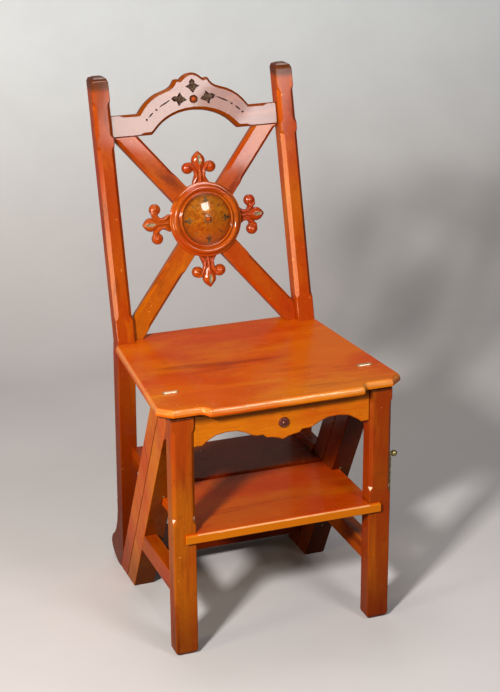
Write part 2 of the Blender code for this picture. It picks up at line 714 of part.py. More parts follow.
def kicked_foot(name, side):
    """Foot of the back post, swept backwards, fitted to the back edge of the upper string."""
    meet = (string_rear(0.0) - leg_front(0.0)) / (SPLIT_SLOPE - LEG_LEAN / (SEAT_UNDER - POST_BEND_BELOW))
    rear = leg_front(KICK_HEIGHT) + POST_DEPTH
    kick = [(rear + KICK_LENGTH * a, KICK_HEIGHT * b) for a, b in reversed(KICK_SHARES[1:])]
    outline = [(string_rear(0.0), 0.0)] + kick
    outline += [(rear, KICK_HEIGHT), (leg_front(KICK_HEIGHT), KICK_HEIGHT), (leg_front(meet), meet)]
    return side_prism(outline, side * POST_INNER, side * POST_OUTER)


def post(name, side):
    """Back leg and stile in one piece, bent at the seat, chamfered above it."""
    outer = side * POST_OUTER
    inner = side * POST_INNER
    sections = []
    for height in (KICK_HEIGHT - FIT, SEAT_UNDER - POST_BEND_BELOW):
        front = leg_front(height)
        outline = bar_section(outer, inner, front, front + POST_DEPTH, EASE, side)
        sections.append([(x, y, height) for x, y in outline])
    stations = (
        (0.0, 0.0, EASE),
        (POST_CHAMFER_LOW - CHAMFER_STOP, 0.0, EASE),
        (POST_CHAMFER_LOW, 0.0, POST_CHAMFER),
        (POST_CHAMFER_GAP_LOW, 0.0, POST_CHAMFER),
        (POST_CHAMFER_GAP_LOW + CHAMFER_STOP, 0.0, EASE),
        (POST_CHAMFER_GAP_HIGH - CHAMFER_STOP, 0.0, EASE),
        (POST_CHAMFER_GAP_HIGH, 0.0, POST_CHAMFER),
        (POST_CHAMFER_HIGH, 0.0, POST_CHAMFER),
        (POST_CHAMFER_HIGH + CHAMFER_STOP, 0.0, EASE),
        (STILE_TOP_V - POST_TOP_ROUND, 0.0, EASE),
        (STILE_TOP_V - POST_TOP_ROUND / 3, POST_TOP_ROUND / 4, EASE * 2),
        (STILE_TOP_V, POST_TOP_ROUND, EASE * 2),
    )
    for v, drawn_in, chamfer in stations:
        height = v * math.cos(RAKE_ANGLE)
        front = POST_SETBACK + BACK_RAKE * height + drawn_in
        rear = POST_BACK + BACK_RAKE * height - drawn_in
        outline = bar_section(outer - side * drawn_in, inner + side * drawn_in, front, rear, chamfer, side)
        sections.append([(x, y, SEAT_TOP + height) for x, y in outline])
    piece = add_piece(name, loft(sections), MAHOGANY, STATE["fold"], STATE["fold_place"])
    cut(piece, kicked_foot(name, side), "_kicked_foot", "UNION")
    return piece


def saltire_bar(name, lean, lap_front):
    """One bar of the crossed back: stopped chamfers, ends scribed to post, seat and crest."""
    angle = math.radians(SALTIRE_ANGLE)
    along = Vector((lean * math.cos(angle), math.sin(angle)))
    across = Vector((-along.y, along.x))
    half = SALTIRE_WIDTH / 2
    reach = (STILE_TOP_V - SALTIRE_CENTRE) / math.sin(angle)
    stations = (
        (-reach, EASE), (-SALTIRE_CHAMFER_OUTER - CHAMFER_STOP, EASE), (-SALTIRE_CHAMFER_OUTER, SALTIRE_CHAMFER),
        (-SALTIRE_CHAMFER_INNER, SALTIRE_CHAMFER), (-SALTIRE_CHAMFER_INNER + CHAMFER_STOP, EASE),
        (SALTIRE_CHAMFER_INNER - CHAMFER_STOP, EASE), (SALTIRE_CHAMFER_INNER, SALTIRE_CHAMFER),
        (SALTIRE_CHAMFER_OUTER, SALTIRE_CHAMFER), (SALTIRE_CHAMFER_OUTER + CHAMFER_STOP, EASE), (reach, EASE),
    )
    sections = []
    for distance, chamfer in stations:
        centre = Vector((0.0, SALTIRE_CENTRE)) + along * distance
        ring = []
        for width, depth in ((-half, SALTIRE_BACK), (half, SALTIRE_BACK), (half, SALTIRE_FRONT - chamfer),
                             (half - chamfer, SALTIRE_FRONT), (chamfer - half, SALTIRE_FRONT),
                             (-half, SALTIRE_FRONT - chamfer)):
            spot = centre + across * width
            ring.append(back_point(spot.x, spot.y, depth))
        sections.append(ring)
    bm = loft(sections)
    side_limit = POST_INNER - FIT
    trim(bm, (side_limit, 0.0, 0.0), (1.0, 0.0, 0.0))
    trim(bm, (-side_limit, 0.0, 0.0), (-1.0, 0.0, 0.0))
    trim(bm, (0.0, 0.0, SEAT_TOP + FIT), (0.0, 0.0, -1.0))
    trim(bm, back_point(0.0, CREST_LOW - FIT, 0.0), (0.0, math.sin(RAKE_ANGLE), math.cos(RAKE_ANGLE)))
    piece = add_piece(name, bm, MAHOGANY, STATE["fold"], STATE["fold_place"])
    middle = (SALTIRE_FRONT + SALTIRE_BACK) / 2
    near, far = (middle - HALF_FIT, SALTIRE_FRONT + CUT_OVERRUN)
    if lap_front:
        near, far = (SALTIRE_BACK - CUT_OVERRUN, middle + HALF_FIT)
    other = Vector((-along.x, along.y))
    other_across = Vector((-other.y, other.x))
    corners = []
    for run, width in ((-1, -1), (1, -1), (1, 1), (-1, 1)):
        corners.append(Vector((0.0, SALTIRE_CENTRE)) + other * (run * SALTIRE_WIDTH * 2)
                       + other_across * (width * (half + FIT)))
    lap = prism([tuple(corner) for corner in corners], lambda a, b, end: back_point(a, b, far if end else near))
    cut(piece, lap, "_lap")
    return piece


def stopped_plate(outline, stops, back, front, chamfer):
    """Flat carving on the back plane; its front edge is chamfered where a point's stop is 1 and eased at 0."""
    full = inset_outline(outline, chamfer)
    eased = inset_outline(outline, EASE)
    rim = [Vector(low).lerp(Vector(high), stop) for low, high, stop in zip(eased, full, stops)]
    sections = [[back_point(a, b, depth) for a, b in outline] for depth in (back, front - chamfer)]
    sections.append([back_point(spot.x, spot.y, front) for spot in rim])
    return loft(sections)


def crest_rail():
    """Arched top rail with a round head, cusps and level shoulders where its chamfers stop."""
    end = POST_INNER - FIT
    rise = CREST_APEX - CREST_SHOULDER
    arch = CREST_ARCH_TOP - CREST_LOW
    low_end = CREST_LOW_STOP + CHAMFER_STOP
    top_end = CREST_TOP_STOP + CHAMFER_STOP
    half = [(CREST_ARCH_LOW_WIDTH * a, CREST_LOW + arch * b) for a, b in reversed(CREST_ARCH_SHARES)]
    half += [(CREST_LOW_STOP, CREST_LOW), (low_end, CREST_LOW), (end, CREST_LOW)]
    half += [(end, CREST_SHOULDER), (top_end, CREST_SHOULDER), (CREST_TOP_STOP, CREST_SHOULDER)]
    half += [(CREST_SPRING_WIDTH * a, CREST_SHOULDER + rise * b) for a, b in reversed(CREST_OGEE_SHARES)]
    outline = mirrored(half)
    limits = ((CREST_LOW, low_end), (CREST_SHOULDER, top_end))
    stops = [0.0 if any(b == level and abs(a) >= limit for level, limit in limits) else 1.0 for a, b in outline]
    bm = stopped_plate(outline, stops, SALTIRE_BACK, SALTIRE_FRONT, CREST_CHAMFER)
    return add_piece("crest_rail", bm, MAHOGANY, STATE["fold"], STATE["fold_place"])


def boss_pieces():
    """Turned ring, domed centre and knob in the middle of the saltire."""
    fold, place = STATE["fold"], STATE["fold_place"]
    ring = [(BOSS_RADIUS * a, BOSS_THICKNESS * b) for a, b in BOSS_PROFILE_SHARES]
    floor = BOSS_THICKNESS - DOME_SEAT - DOME_RISE * 0.30
    recess = ring[-1][0]
    ring[-1] = (recess, floor)
    bm = turned(ring, BOSS_SEGMENTS)
    bmesh.ops.transform(bm, matrix=back_matrix(0.0, BOSS_CENTRE, BOSS_BACK), verts=bm.verts)
    add_piece("boss_ring", bm, MAHOGANY, fold, place, smooth=True)
    dome_base = BOSS_BACK + floor + FIT
    dome = [(DOME_RADIUS * a, DOME_RISE * b) for a, b in DOME_PROFILE_SHARES]
    lift = -dome[0][1]
    dome = [(radius, height + lift) for radius, height in dome]
    bm = turned(dome, BOSS_SEGMENTS)
    bmesh.ops.transform(bm, matrix=back_matrix(0.0, BOSS_CENTRE, dome_base), verts=bm.verts)
    add_piece("boss_dome", bm, AMBER_WOOD, fold, place, smooth=True)
    knob_base = dome_base + dome[-1][1] + FIT
    knob = [(KNOB_RADIUS * a, KNOB_RISE * max(b, 0.0)) for a, b in KNOB_PROFILE_SHARES[1:]]
    knob[0] = (knob[0][0], 0.0)
    bm = turned(knob, BOSS_SEGMENTS // 2)
    bmesh.ops.transform(bm, matrix=back_matrix(0.0, BOSS_CENTRE, knob_base), verts=bm.verts)
    add_piece("boss_knob", bm, MAHOGANY_DEEP, fold, place, smooth=True)


def fleuron(name, turn, length, spread):
    """Carved trefoil that points away from the boss, with scrolled side lobes."""
    width = FLEURON_HALF_WIDTH
    ball = (spread, FLEURON_BALL_SHARE * length)
    half = [(width * FLEURON_STEM_SHARES[0][0], -FLEURON_ROOT)]
    half += [(width * a, length * b) for a, b in FLEURON_STEM_SHARES]
    half += arc_points(ball, FLEURON_BALL, 205.0, 500.0, 12)
    half += [(width * a, length * b) for a, b in FLEURON_LOBE_SHARES]
    outline = mirrored(half)
    levels = ((0.0, 0.0), (FLEURON_THICKNESS - FLEURON_EDGE, 0.0),
              (FLEURON_THICKNESS - FLEURON_EDGE / 4, FLEURON_EDGE / 3), (FLEURON_THICKNESS, FLEURON_EDGE))
    sections = [[(a, b, height) for a, b in inset_outline(outline, inset)] for height, inset in levels]
    bm = loft(sections)
    frame = back_matrix(0.0, BOSS_CENTRE, FLEURON_BACK, turn) @ Matrix.Translation((0.0, BOSS_RADIUS, 0.0))
    bmesh.ops.transform(bm, matrix=frame, verts=bm.verts)
    return add_piece(name, bm, MAHOGANY, STATE["fold"], STATE["fold_place"], smooth=True)


def crest_ornament():
    """Turned button and three inlaid leaves in the middle of the crest."""
    fold, place = STATE["fold"], STATE["fold_place"]
    surface = SALTIRE_FRONT + FIT
    profile = [(BUTTON_RADIUS * a, BUTTON_RISE * max(b, 0.0)) for a, b in BUTTON_PROFILE_SHARES]
    bm = turned(profile, BOSS_SEGMENTS // 2)
    bmesh.ops.transform(bm, matrix=back_matrix(0.0, BUTTON_CENTRE, surface), verts=bm.verts)
    add_piece("crest_button", bm, MAHOGANY_DEEP, fold, place, smooth=True)
    outline = mirrored([(LEAF_HALF_WIDTH * a, LEAF_LENGTH * b) for a, b in LEAF_HALF_SHARES])
    turn = math.radians(LEAF_TURN)
    low = BUTTON_CENTRE - LEAF_SIDE_DROP
    leaves = (("top", 0.0, BUTTON_CENTRE + LEAF_TOP_RISE, 0.0),
              ("left", -LEAF_SIDE_OFFSET, low, turn), ("right", LEAF_SIDE_OFFSET, low, -turn))
    for label, u, v, angle in leaves:
        bm = prism(outline, lambda a, b, end: (a, b, LEAF_THICKNESS if end else 0.0))
        bmesh.ops.transform(bm, matrix=back_matrix(u, v, surface, angle), verts=bm.verts)
        add_piece("crest_leaf_" + label, bm, EBONISED, fold, place)


def hinge_leaf(name, side, toward, carrier, origin, knuckles):
    """Leaf of a butt hinge: flap let into a board's edge and its share of the barrel."""
    centre = side * HINGE_CENTRE
    across = HINGE_LENGTH / 2
    near = HINGE_SETBACK + toward * (HALF_FIT + FIT / 3)
    far = near + toward * HINGE_LEAF
    low = (centre - across, min(near, far), SEAT_TOP - HINGE_LEAF_DROP)
    high = (centre + across, max(near, far), SEAT_TOP - HINGE_BARREL - FIT * 2)
    piece = add_piece(name, box(low, high), POLISHED_BRASS, carrier, origin)
    part = HINGE_LENGTH / 5
    for number in knuckles:
        start = -across + part * number + HALF_FIT
        stop = -across + part * (number + 1) - HALF_FIT
        barrel = turned([(HINGE_BARREL, start), (HINGE_BARREL, stop)], HINGE_SEGMENTS)
        place = side_matrix(centre, HINGE_SETBACK, AXIS_Z, 1)
        bmesh.ops.transform(barrel, matrix=place, verts=barrel.verts)
        cut(piece, barrel, "_knuckle_%d" % number, "UNION")
        web = box((centre + start, min(near, far), SEAT_TOP - HINGE_LEAF_DROP / 2),
                  (centre + stop, max(near, far), AXIS_Z - HINGE_BARREL / 2))
        cut(piece, web, "_web_%d" % number, "UNION")
    bore = turned([(HINGE_PIN + FIT, -across - CUT_OVERRUN), (HINGE_PIN + FIT, across + CUT_OVERRUN)], HINGE_SEGMENTS)
    bmesh.ops.transform(bore, matrix=side_matrix(centre, HINGE_SETBACK, AXIS_Z, 1), verts=bore.verts)
    cut(piece, bore, "_bore")
    return piece


def hinges():
    """Two butt hinges on the seat top: fixed leaf, moving leaf and pin."""
    for label, side in SIDES:
        hinge_leaf("hinge_leaf_fixed_" + label, side, -1, STATE["chair"], (0.0, 0.0, 0.0), (0, 2, 4))
        hinge_leaf("hinge_leaf_moving_" + label, side, 1, STATE["fold"], STATE["fold_place"], (1, 3))
        pin = turned([(HINGE_PIN, -HINGE_LENGTH / 2), (HINGE_PIN, HINGE_LENGTH / 2)], HINGE_SEGMENTS)
        place = side_matrix(side * HINGE_CENTRE, HINGE_SETBACK, AXIS_Z, 1)
        bmesh.ops.transform(pin, matrix=place, verts=pin.verts)
        add_piece("hinge_pin_" + label, pin, POLISHED_BRASS, STATE["chair"], smooth=True)


def catch():
    """Side hook on the right front leg and the stud on the upper string that it holds."""
    chair = STATE["chair"]
    face = LEG_OUTER + FIT
    half_length = CATCH_PLATE_LENGTH / 2
    half_width = CATCH_PLATE_WIDTH / 2
    outline = [(CATCH_SETBACK + a, CATCH_HEIGHT - half_length / 3 + b)
               for a, b in arc_points((0.0, half_length - half_width), half_width, 0.0, 180.0, 10)
               + arc_points((0.0, half_width - half_length), half_width, 180.0, 360.0, 10)]
    add_piece("catch_plate", side_prism(outline, face, face + CATCH_PLATE_THICKNESS), AGED_BRASS, chair)
    arm_in = face + CATCH_PLATE_THICKNESS + FIT
    arm_out = arm_in + CATCH_ARM_THICKNESS
    half_arm = CATCH_ARM_WIDTH / 2
    throat = STUD_RADIUS + CATCH_CLEARANCE
    tip = CATCH_REACH + throat + CATCH_BEAK
    hook = arc_points((0.0, 0.0), half_arm, 0.0, 180.0, 8)
    hook += [(-half_arm, -tip + half_arm)]
    hook += arc_points((0.0, -tip + half_arm), half_arm, 180.0, 360.0, 8)[1:]
    hook += [(half_arm, -CATCH_REACH - throat)]
    hook += [(a, b - CATCH_REACH) for a, b in arc_points((0.0, 0.0), throat, 270.0, 90.0, 8)]
    hook += [(half_arm, -CATCH_REACH + throat)]
    swing_rest = [(CATCH_SETBACK + a, CATCH_HEIGHT + b) for a, b in hook]
    place = Vector((0.0, CATCH_SETBACK, CATCH_HEIGHT))
    pivot = add_empty("catch_axis", place, chair)
    bm = side_prism(swing_rest, arm_in, arm_out)
    piece = add_piece("catch_arm", bm, AGED_BRASS, pivot, place)
    hole = turned([(CATCH_STEM + FIT, 0.0), (CATCH_STEM + FIT, CATCH_ARM_THICKNESS + CUT_OVERRUN * 2)], HINGE_SEGMENTS)
    bmesh.ops.transform(hole, matrix=side_matrix(arm_in - CUT_OVERRUN, place.y, place.z, 1), verts=hole.verts)
    cut(piece, hole, "_pivot_hole")
    ball = CATCH_BALL
    neck = CATCH_ARM_THICKNESS + FIT * 2
    profile = [(CATCH_STEM, 0.0), (CATCH_STEM, neck + ball / 2)]
    profile += [(ball * math.sin(math.radians(angle)), neck + ball + ball / 4 - ball * math.cos(math.radians(angle)))
                for angle in range(40, 171, 26)]
    bm = turned(profile, HINGE_SEGMENTS)
    place_knob = side_matrix(face + CATCH_PLATE_THICKNESS + HALF_FIT, place.y, place.z, 1)
    bmesh.ops.transform(bm, matrix=place_knob, verts=bm.verts)
    add_piece("catch_knob", bm, AGED_BRASS, chair, smooth=True)
    length = arm_out - STRING_OUTER + FIT
    profile = [(STUD_RADIUS, 0.0), (STUD_RADIUS, length), (STUD_HEAD, length),
               (STUD_HEAD, length + STUD_HEAD_THICKNESS / 2), (STUD_HEAD / 2, length + STUD_HEAD_THICKNESS)]
    bm = turned(profile, HINGE_SEGMENTS)
    stud_y = CATCH_SETBACK + CATCH_REACH * math.sin(CATCH_SWING)
    stud_z = CATCH_HEIGHT - CATCH_REACH * math.cos(CATCH_SWING)
    bmesh.ops.transform(bm, matrix=side_matrix(STRING_OUTER + FIT, stud_y, stud_z, 1), verts=bm.verts)
    add_piece("catch_stud", bm, AGED_BRASS, STATE["fold"], STATE["fold_place"], smooth=True)


def build_chair():
    """Model every piece of the chair."""
    clear_scene()
    STATE["chair"] = add_empty("chair_frame", (0.0, -MIDDLE_Y, 0.0))
    STATE["fold_place"] = (0.0, HINGE_SETBACK, AXIS_Z)
    STATE["fold"] = add_empty("fold_axis", STATE["fold_place"], STATE["chair"])
    for label, side in SIDES:
        front_leg("front_leg_" + label, side)
        lower_string("lower_string_" + label, side)
        side_brace("side_brace_" + label, side)
        gusset("gusset_" + label, side)
        post("back_post_" + label, side)
        upper_string("upper_string_" + label, side)
        lift = TREAD_THICKNESS + FIT
        middle = MIDDLE_TREAD_BOTTOM + lift
        tread_batten("middle_batten_" + label, side, middle, STRING_INNER + TREAD_HOUSING,
                     leg_front(middle + BATTEN_HEIGHT) - FIT)
        tread_batten("top_batten_" + label, side, TOP_TREAD_BOTTOM + lift, STRING_INNER - FIT,
                     TOP_TREAD_REAR - EASE)
    apron()
    apron_boss()
    lower_tread()
    upper_tread("middle_tread", MIDDLE_TREAD_BOTTOM, MIDDLE_TREAD_REAR)
    upper_tread("top_tread", TOP_TREAD_BOTTOM, TOP_TREAD_REAR)
    seat_boards()
    saltire_bar("saltire_bar_rising", 1, True)
    saltire_bar("saltire_bar_falling", -1, False)
    crest_rail()
    boss_pieces()
    for label, turn in (("top", 0.0), ("bottom", 180.0)):
        fleuron("fleuron_" + label, math.radians(turn), FLEURON_LENGTH, FLEURON_SPREAD)
    for label, turn in (("left", 90.0), ("right", 270.0)):
        fleuron("fleuron_" + label, math.radians(turn), FLEURON_SIDE_LENGTH, FLEURON_SIDE_SPREAD)
    crest_ornament()
    hinges()
    catch()
    bpy.context.view_layer.update()


build_chair()
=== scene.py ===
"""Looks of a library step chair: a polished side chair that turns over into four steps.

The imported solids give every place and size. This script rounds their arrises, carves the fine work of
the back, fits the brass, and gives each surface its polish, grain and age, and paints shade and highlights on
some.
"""
import json
import logging
import math
from contextlib import contextmanager
from dataclasses import dataclass, field
from enum import Enum
from typing import Callable, Iterator, Optional, Sequence, Union

import bpy
from mathutils import Matrix, Vector

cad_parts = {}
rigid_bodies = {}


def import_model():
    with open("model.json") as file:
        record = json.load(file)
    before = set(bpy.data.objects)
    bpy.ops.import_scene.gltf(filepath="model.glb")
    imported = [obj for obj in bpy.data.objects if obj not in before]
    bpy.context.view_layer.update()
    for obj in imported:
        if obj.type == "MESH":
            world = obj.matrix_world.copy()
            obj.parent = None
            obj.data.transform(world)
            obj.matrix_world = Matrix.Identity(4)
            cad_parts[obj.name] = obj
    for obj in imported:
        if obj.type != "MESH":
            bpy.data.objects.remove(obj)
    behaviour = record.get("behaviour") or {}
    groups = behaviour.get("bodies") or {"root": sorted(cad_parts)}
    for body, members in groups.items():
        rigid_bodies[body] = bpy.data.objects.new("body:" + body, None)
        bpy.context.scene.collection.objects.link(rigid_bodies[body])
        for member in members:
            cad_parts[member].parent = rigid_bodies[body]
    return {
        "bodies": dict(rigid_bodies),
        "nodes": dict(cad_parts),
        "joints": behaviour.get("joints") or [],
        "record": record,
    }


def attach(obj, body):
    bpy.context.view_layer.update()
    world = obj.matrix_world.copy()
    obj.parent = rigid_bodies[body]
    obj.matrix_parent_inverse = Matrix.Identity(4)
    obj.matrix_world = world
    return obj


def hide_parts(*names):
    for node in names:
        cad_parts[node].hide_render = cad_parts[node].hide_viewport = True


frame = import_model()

LOG = logging.getLogger("step_chair")
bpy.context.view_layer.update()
Point = tuple[float, float, float]
Flat = tuple[float, float]
Colour = tuple[float, float, float]
Piece = bpy.types.Object
Finish = bpy.types.Material

# Metres from the front faces of the front legs back to the frame's origin.
FRONT_TO_ORIGIN = 0.22561
# Depth and height of the hinge pins, and of the direction that the seam between the strings faces.
HINGE_LINE: Flat = (-0.1541, 0.4572)
SEAM_NORMAL: Flat = (0.8809, 0.4732)
STRING_LEAN = math.radians(28.24)
BAR_SLOPE = math.radians(50.8)
QUARTER = math.pi / 2


# Shader maths


class Tap:
    """An output of a node in one finish, or a plain number, with arithmetic as operators."""

    def __init__(self, bench: "NodeBench", value: Union[float, bpy.types.NodeSocket]) -> None:
        """Keep the bench that new nodes go on and the socket or number itself."""
        self.bench = bench
        self.value = value

    def _joined(self, operation: str, other: "Number", turned: bool = False) -> "Tap":
        """Add one Math node.

        Args:
            operation: the Math node's operation.
            other: the second value.
            turned: True when the other value comes first.

        Returns:
            The new node's output.
        """
        first, second = (other, self) if turned else (self, other)
        return self.bench.node("ShaderNodeMath", {"operation": operation}, {0: first, 1: second})

    def __add__(self, other: "Number") -> "Tap":
        """Sum."""
        return self._joined("ADD", other)

    __radd__ = __add__

    def __sub__(self, other: "Number") -> "Tap":
        """Difference."""
        return self._joined("SUBTRACT", other)

    def __rsub__(self, other: "Number") -> "Tap":
        """Difference from a plain number."""
        return self._joined("SUBTRACT", other, True)

    def __mul__(self, other: "Number") -> "Tap":
        """Product."""
        return self._joined("MULTIPLY", other)

    __rmul__ = __mul__

    def __truediv__(self, other: "Number") -> "Tap":
        """Quotient."""
        return self._joined("DIVIDE", other)

    def power(self, other: "Number") -> "Tap":
        """Raise to a power."""
        return self._joined("POWER", other)

    def greatest(self, other: "Number") -> "Tap":
        """The larger of two values."""
        return self._joined("MAXIMUM", other)

    def least(self, other: "Number") -> "Tap":
        """The smaller of two values."""
        return self._joined("MINIMUM", other)

    def size(self) -> "Tap":
        """The value without its sign."""
        return self._joined("ABSOLUTE", 0.0)

    def between(self, low: float, high: float) -> "Tap":
        """Smooth mask that goes from 0 at low to 1 at high."""
        settings = {"interpolation_type": "SMOOTHSTEP"}
        return self.bench.node("ShaderNodeMapRange", settings, {0: self, 1: low, 2: high})


Number = Union[Tap, float, int]


class NodeBench:
    """Node tree of one finish."""

    def __init__(self, name: str) -> None:
        """Start a material with its Principled shader.

        Args:
            name: the material's name.
        """
        self.material = bpy.data.materials.new(name)
        self.material.use_nodes = True
        self.tree = self.material.node_tree
        self.shader = self.tree.nodes["Principled BSDF"]

    def node(self, kind: str, settings: Optional[dict] = None, inputs: Optional[dict] = None,
             output: Union[int, str] = 0) -> Tap:
        """Make any node.

        Args:
            kind: the node's type name.
            settings: its own properties, and "stops" for the stops of a colour ramp.
            inputs: values or links of its sockets by number or name.
            output: the output that is returned.

        Returns:
            The chosen output.
        """
        made = self.tree.nodes.new(kind)
        for key, value in (settings or {}).items():
            if key == "stops":
                self._set_stops(made, value)
            else:
                setattr(made, key, value)
        for key, value in (inputs or {}).items():
            self.feed(made.inputs[key], value)
        return Tap(self, made.outputs[output])

    @staticmethod
    def _set_stops(ramp: bpy.types.Node, stops: Sequence[tuple[float, Colour]]) -> None:
        """Give a colour ramp its stops.

        Args:
            ramp: the ramp's node.
            stops: place and colour of each stop, in order.
        """
        elements = ramp.color_ramp.elements
        while len(elements) < len(stops):
            elements.new(1.0)
        for element, (place, colour) in zip(elements, stops):
            element.position = place
            element.color = (*colour, 1.0)

    def feed(self, socket: bpy.types.NodeSocket, value: object) -> None:
        """Link or set one input socket.

        Args:
            socket: the input.
            value: an output to link, or a plain value.
        """
        if isinstance(value, Tap):
            if isinstance(value.value, bpy.types.NodeSocket):
                self.tree.links.new(value.value, socket)
                return
            value = value.value
        if socket.type == "RGBA" and isinstance(value, tuple) and len(value) == 3:
            value = (*value, 1.0)
        socket.default_value = value

    def set(self, **sockets: object) -> None:
        """Feed the shader; underscores in a name stand for its spaces."""
        for name, value in sockets.items():
            self.feed(self.shader.inputs[name.replace("_", " ").title().replace("Ior", "IOR")], value)

    def blended(self, share: Number, first: object, second: object, way: str = "MIX") -> Tap:
        """Mix two colours."""
        settings = {"data_type": "RGBA", "blend_type": way}
        return self.node("ShaderNodeMix", settings, {0: share, 6: first, 7: second}, 2)

    def place(self, turn: Point = (0.0, 0.0, 0.0), scale: Point = (1.0, 1.0, 1.0),
              shift: Point = (0.0, 0.0, 0.0)) -> Tap:
        """Object coordinates, turned and then stretched.

        Args:
            turn: turn in radians.
            scale: stretch along each axis, last of all.
            shift: shift after the turn.

        Returns:
            The new coordinates.
        """
        coords = self.node("ShaderNodeTexCoord", output="Object")
        turned = self.node("ShaderNodeMapping", {"vector_type": "POINT"}, {0: coords, 1: shift, 2: turn})
        return self.node("ShaderNodeMapping", {"vector_type": "POINT"}, {0: turned, 3: scale})

    def noise(self, place: Tap, scale: float, detail: float = 4.0, rough: float = 0.55,
              twist: float = 0.0) -> Tap:
        """Noise value between about 0.3 and 0.7."""
        inputs = {"Vector": place, "Scale": scale, "Detail": detail, "Roughness": rough, "Distortion": twist}
        return self.node("ShaderNodeTexNoise", {"normalize": True}, inputs)

    def axes(self, place: Tap) -> tuple[Tap, Tap, Tap]:
        """The three coordinates of a place, each by itself.

        Args:
            place: a vector.

        Returns:
            Its first, second and third coordinate.
        """
        first = self.node("ShaderNodeSeparateXYZ", None, {0: place})
        parts = first.value.node.outputs
        return first, Tap(self, parts[1]), Tap(self, parts[2])

    def spot(self) -> tuple[Tap, Tap, Tap]:
        """Object coordinates across, to the back and up, each by itself."""
        return self.axes(self.place())

    def facing(self) -> Tap:
        """Direction that the surface faces."""
        return self.node("ShaderNodeTexCoord", output="Normal")

    def seen_from(self, frame: Matrix) -> Tap:
        """Object coordinates as they read in another frame."""
        back = frame.inverted()
        return self.place(tuple(back.to_euler("XYZ")), shift=tuple(back.translation))

    def oval(self, across: Tap, along: Tap, centre: Flat, radii: Flat, soft: float = 0.3) -> Tap:
        """Mask of an ellipse.

        Args:
            across: first coordinate.
            along: second coordinate.
            centre: middle of the ellipse.
            radii: its two radii.
            soft: width of its soft edge.

        Returns:
            1 inside the ellipse and 0 outside it.
        """
        x = (across - centre[0]) * (1.0 / radii[0])
        y = (along - centre[1]) * (1.0 / radii[1])
        return 1.0 - (x * x + y * y).between(1.0 - soft, 1.0 + soft)

    def bump(self, relief: Tap, strength: float, depth: float) -> Tap:
        """Bump normal from a relief."""
        return self.node("ShaderNodeBump", None, {"Strength": strength, "Distance": depth, "Height": relief})

    def seen(self, mirrored: float) -> Tap:
        """Mask of what the camera sees.

        Args:
            mirrored: share that counts as seen in a polish.

        Returns:
            1 straight or through glass, the share in a mirror, and 0 for all other light.
        """
        camera = self.node("ShaderNodeLightPath", output="Is Camera Ray")
        paths = camera.value.node.outputs
        through = Tap(self, paths["Is Transmission Ray"])
        return camera.greatest(through).greatest(Tap(self, paths["Is Glossy Ray"]) * mirrored)


class AirBench(NodeBench):
    """Node tree of the room's air."""

    def __init__(self, name: str) -> None:
        """Start a world with its Background shader.

        Args:
            name: the world's name.
        """
        self.world = bpy.data.worlds.new(name)
        self.world.use_nodes = True
        self.tree = self.world.node_tree
        self.shader = self.tree.nodes["Background"]


# Finishes


class Grain(Enum):
    """Direction that the wood's fibres run in, as the turn that brings them onto X."""

    ACROSS = (0.0, 0.0, 0.0)
    DEEP = (0.0, 0.0, -QUARTER)
    UPRIGHT = (0.0, QUARTER, 0.0)
    STRING = (STRING_LEAN, QUARTER, 0.0)
    RISING = (0.0, BAR_SLOPE, 0.0)
    FALLING = (0.0, -BAR_SLOPE, 0.0)


class Tint(Enum):
    """Colour of what age and wear leave on the wood, and of the shade, shadow and glints painted on it."""

    PORE = (0.07, 0.008, 0.001)
    CHIP = (0.78, 0.30, 0.06)
    SOIL_AND_SHADE = (0.10, 0.013, 0.0008)
    CHAMFER_SHADE = (0.24, 0.042, 0.0008)
    DARK_BAND = (0.030, 0.007, 0.002)
    SEAM = (0.060, 0.007, 0.001)
    STOP_GLINT = (1.0, 0.76, 0.56)
    UNDERSIDE_SHADE = (0.040, 0.010, 0.003)
    GILT = (0.58, 0.165, 0.003)


@dataclass(frozen=True)
class WornEdgeHighlight:
    """Front edge that hands and feet have rubbed light, with a painted highlight along the same band: a band
    in height in front of a line.
    """

    low: float
    high: float
    front: float = 1.0
    fade: float = 0.0022
    reach: float = 1.0
    gilded: float = 0.0
    # Colour of the band: rubbed wood with a painted highlight.
    light: Colour = (0.82, 0.37, 0.11)

    def mask(self, bench: NodeBench) -> Tap:
        """Lay out the rubbed band.

        Args:
            bench: the tree that the nodes go on.

        Returns:
            1 where the edge is rubbed most.
        """
        across, depth, height = bench.spot()
        above = 1.0 - height.between(self.high, self.high + 0.0005)
        band = height.between(self.low, self.low + self.fade) * above
        streaks = bench.noise(bench.place(scale=(1.0, 3.0, 8.0)), 26.0, 4.0, 0.6).between(0.34, 0.62)
        within = 1.0 - across.size().between(self.reach - 0.002, self.reach + 0.002)
        return band * within * (streaks * 0.55 + 0.45) * self.face(depth)

    def worn(self, bench: NodeBench, colour: Tap, coat: float) -> tuple[Tap, Tap]:
        """Age the edge of a board, and paint shade on its underside.

        Args:
            bench: the tree that the nodes go on.
            colour: colour of the wood.
            coat: how full its polish is.

        Returns:
            Colour with painted shade on the underside, a golden face and the rubbed band, which is partly
            wear and partly a painted highlight, and the polish over it.
        """
        # Painted shade: the faces that look down are darkened.
        under = bench.axes(bench.facing())[2].between(-0.80, -0.35)
        colour = bench.blended((1.0 - under) * 0.85, colour, Tint.UNDERSIDE_SHADE.value)
        colour = bench.blended(self.face(bench.spot()[1]) * self.gilded, colour, Tint.GILT.value)
        mask = self.mask(bench)
        # The light band is partly wear and partly a painted highlight.
        return bench.blended(mask * 0.50, colour, self.light), mask * (1.0 - coat) + coat

    def face(self, depth: Tap) -> Tap:
        """Mask of all that lies in front of the line."""
        return 1.0 - depth.between(self.front, self.front + 0.0012)


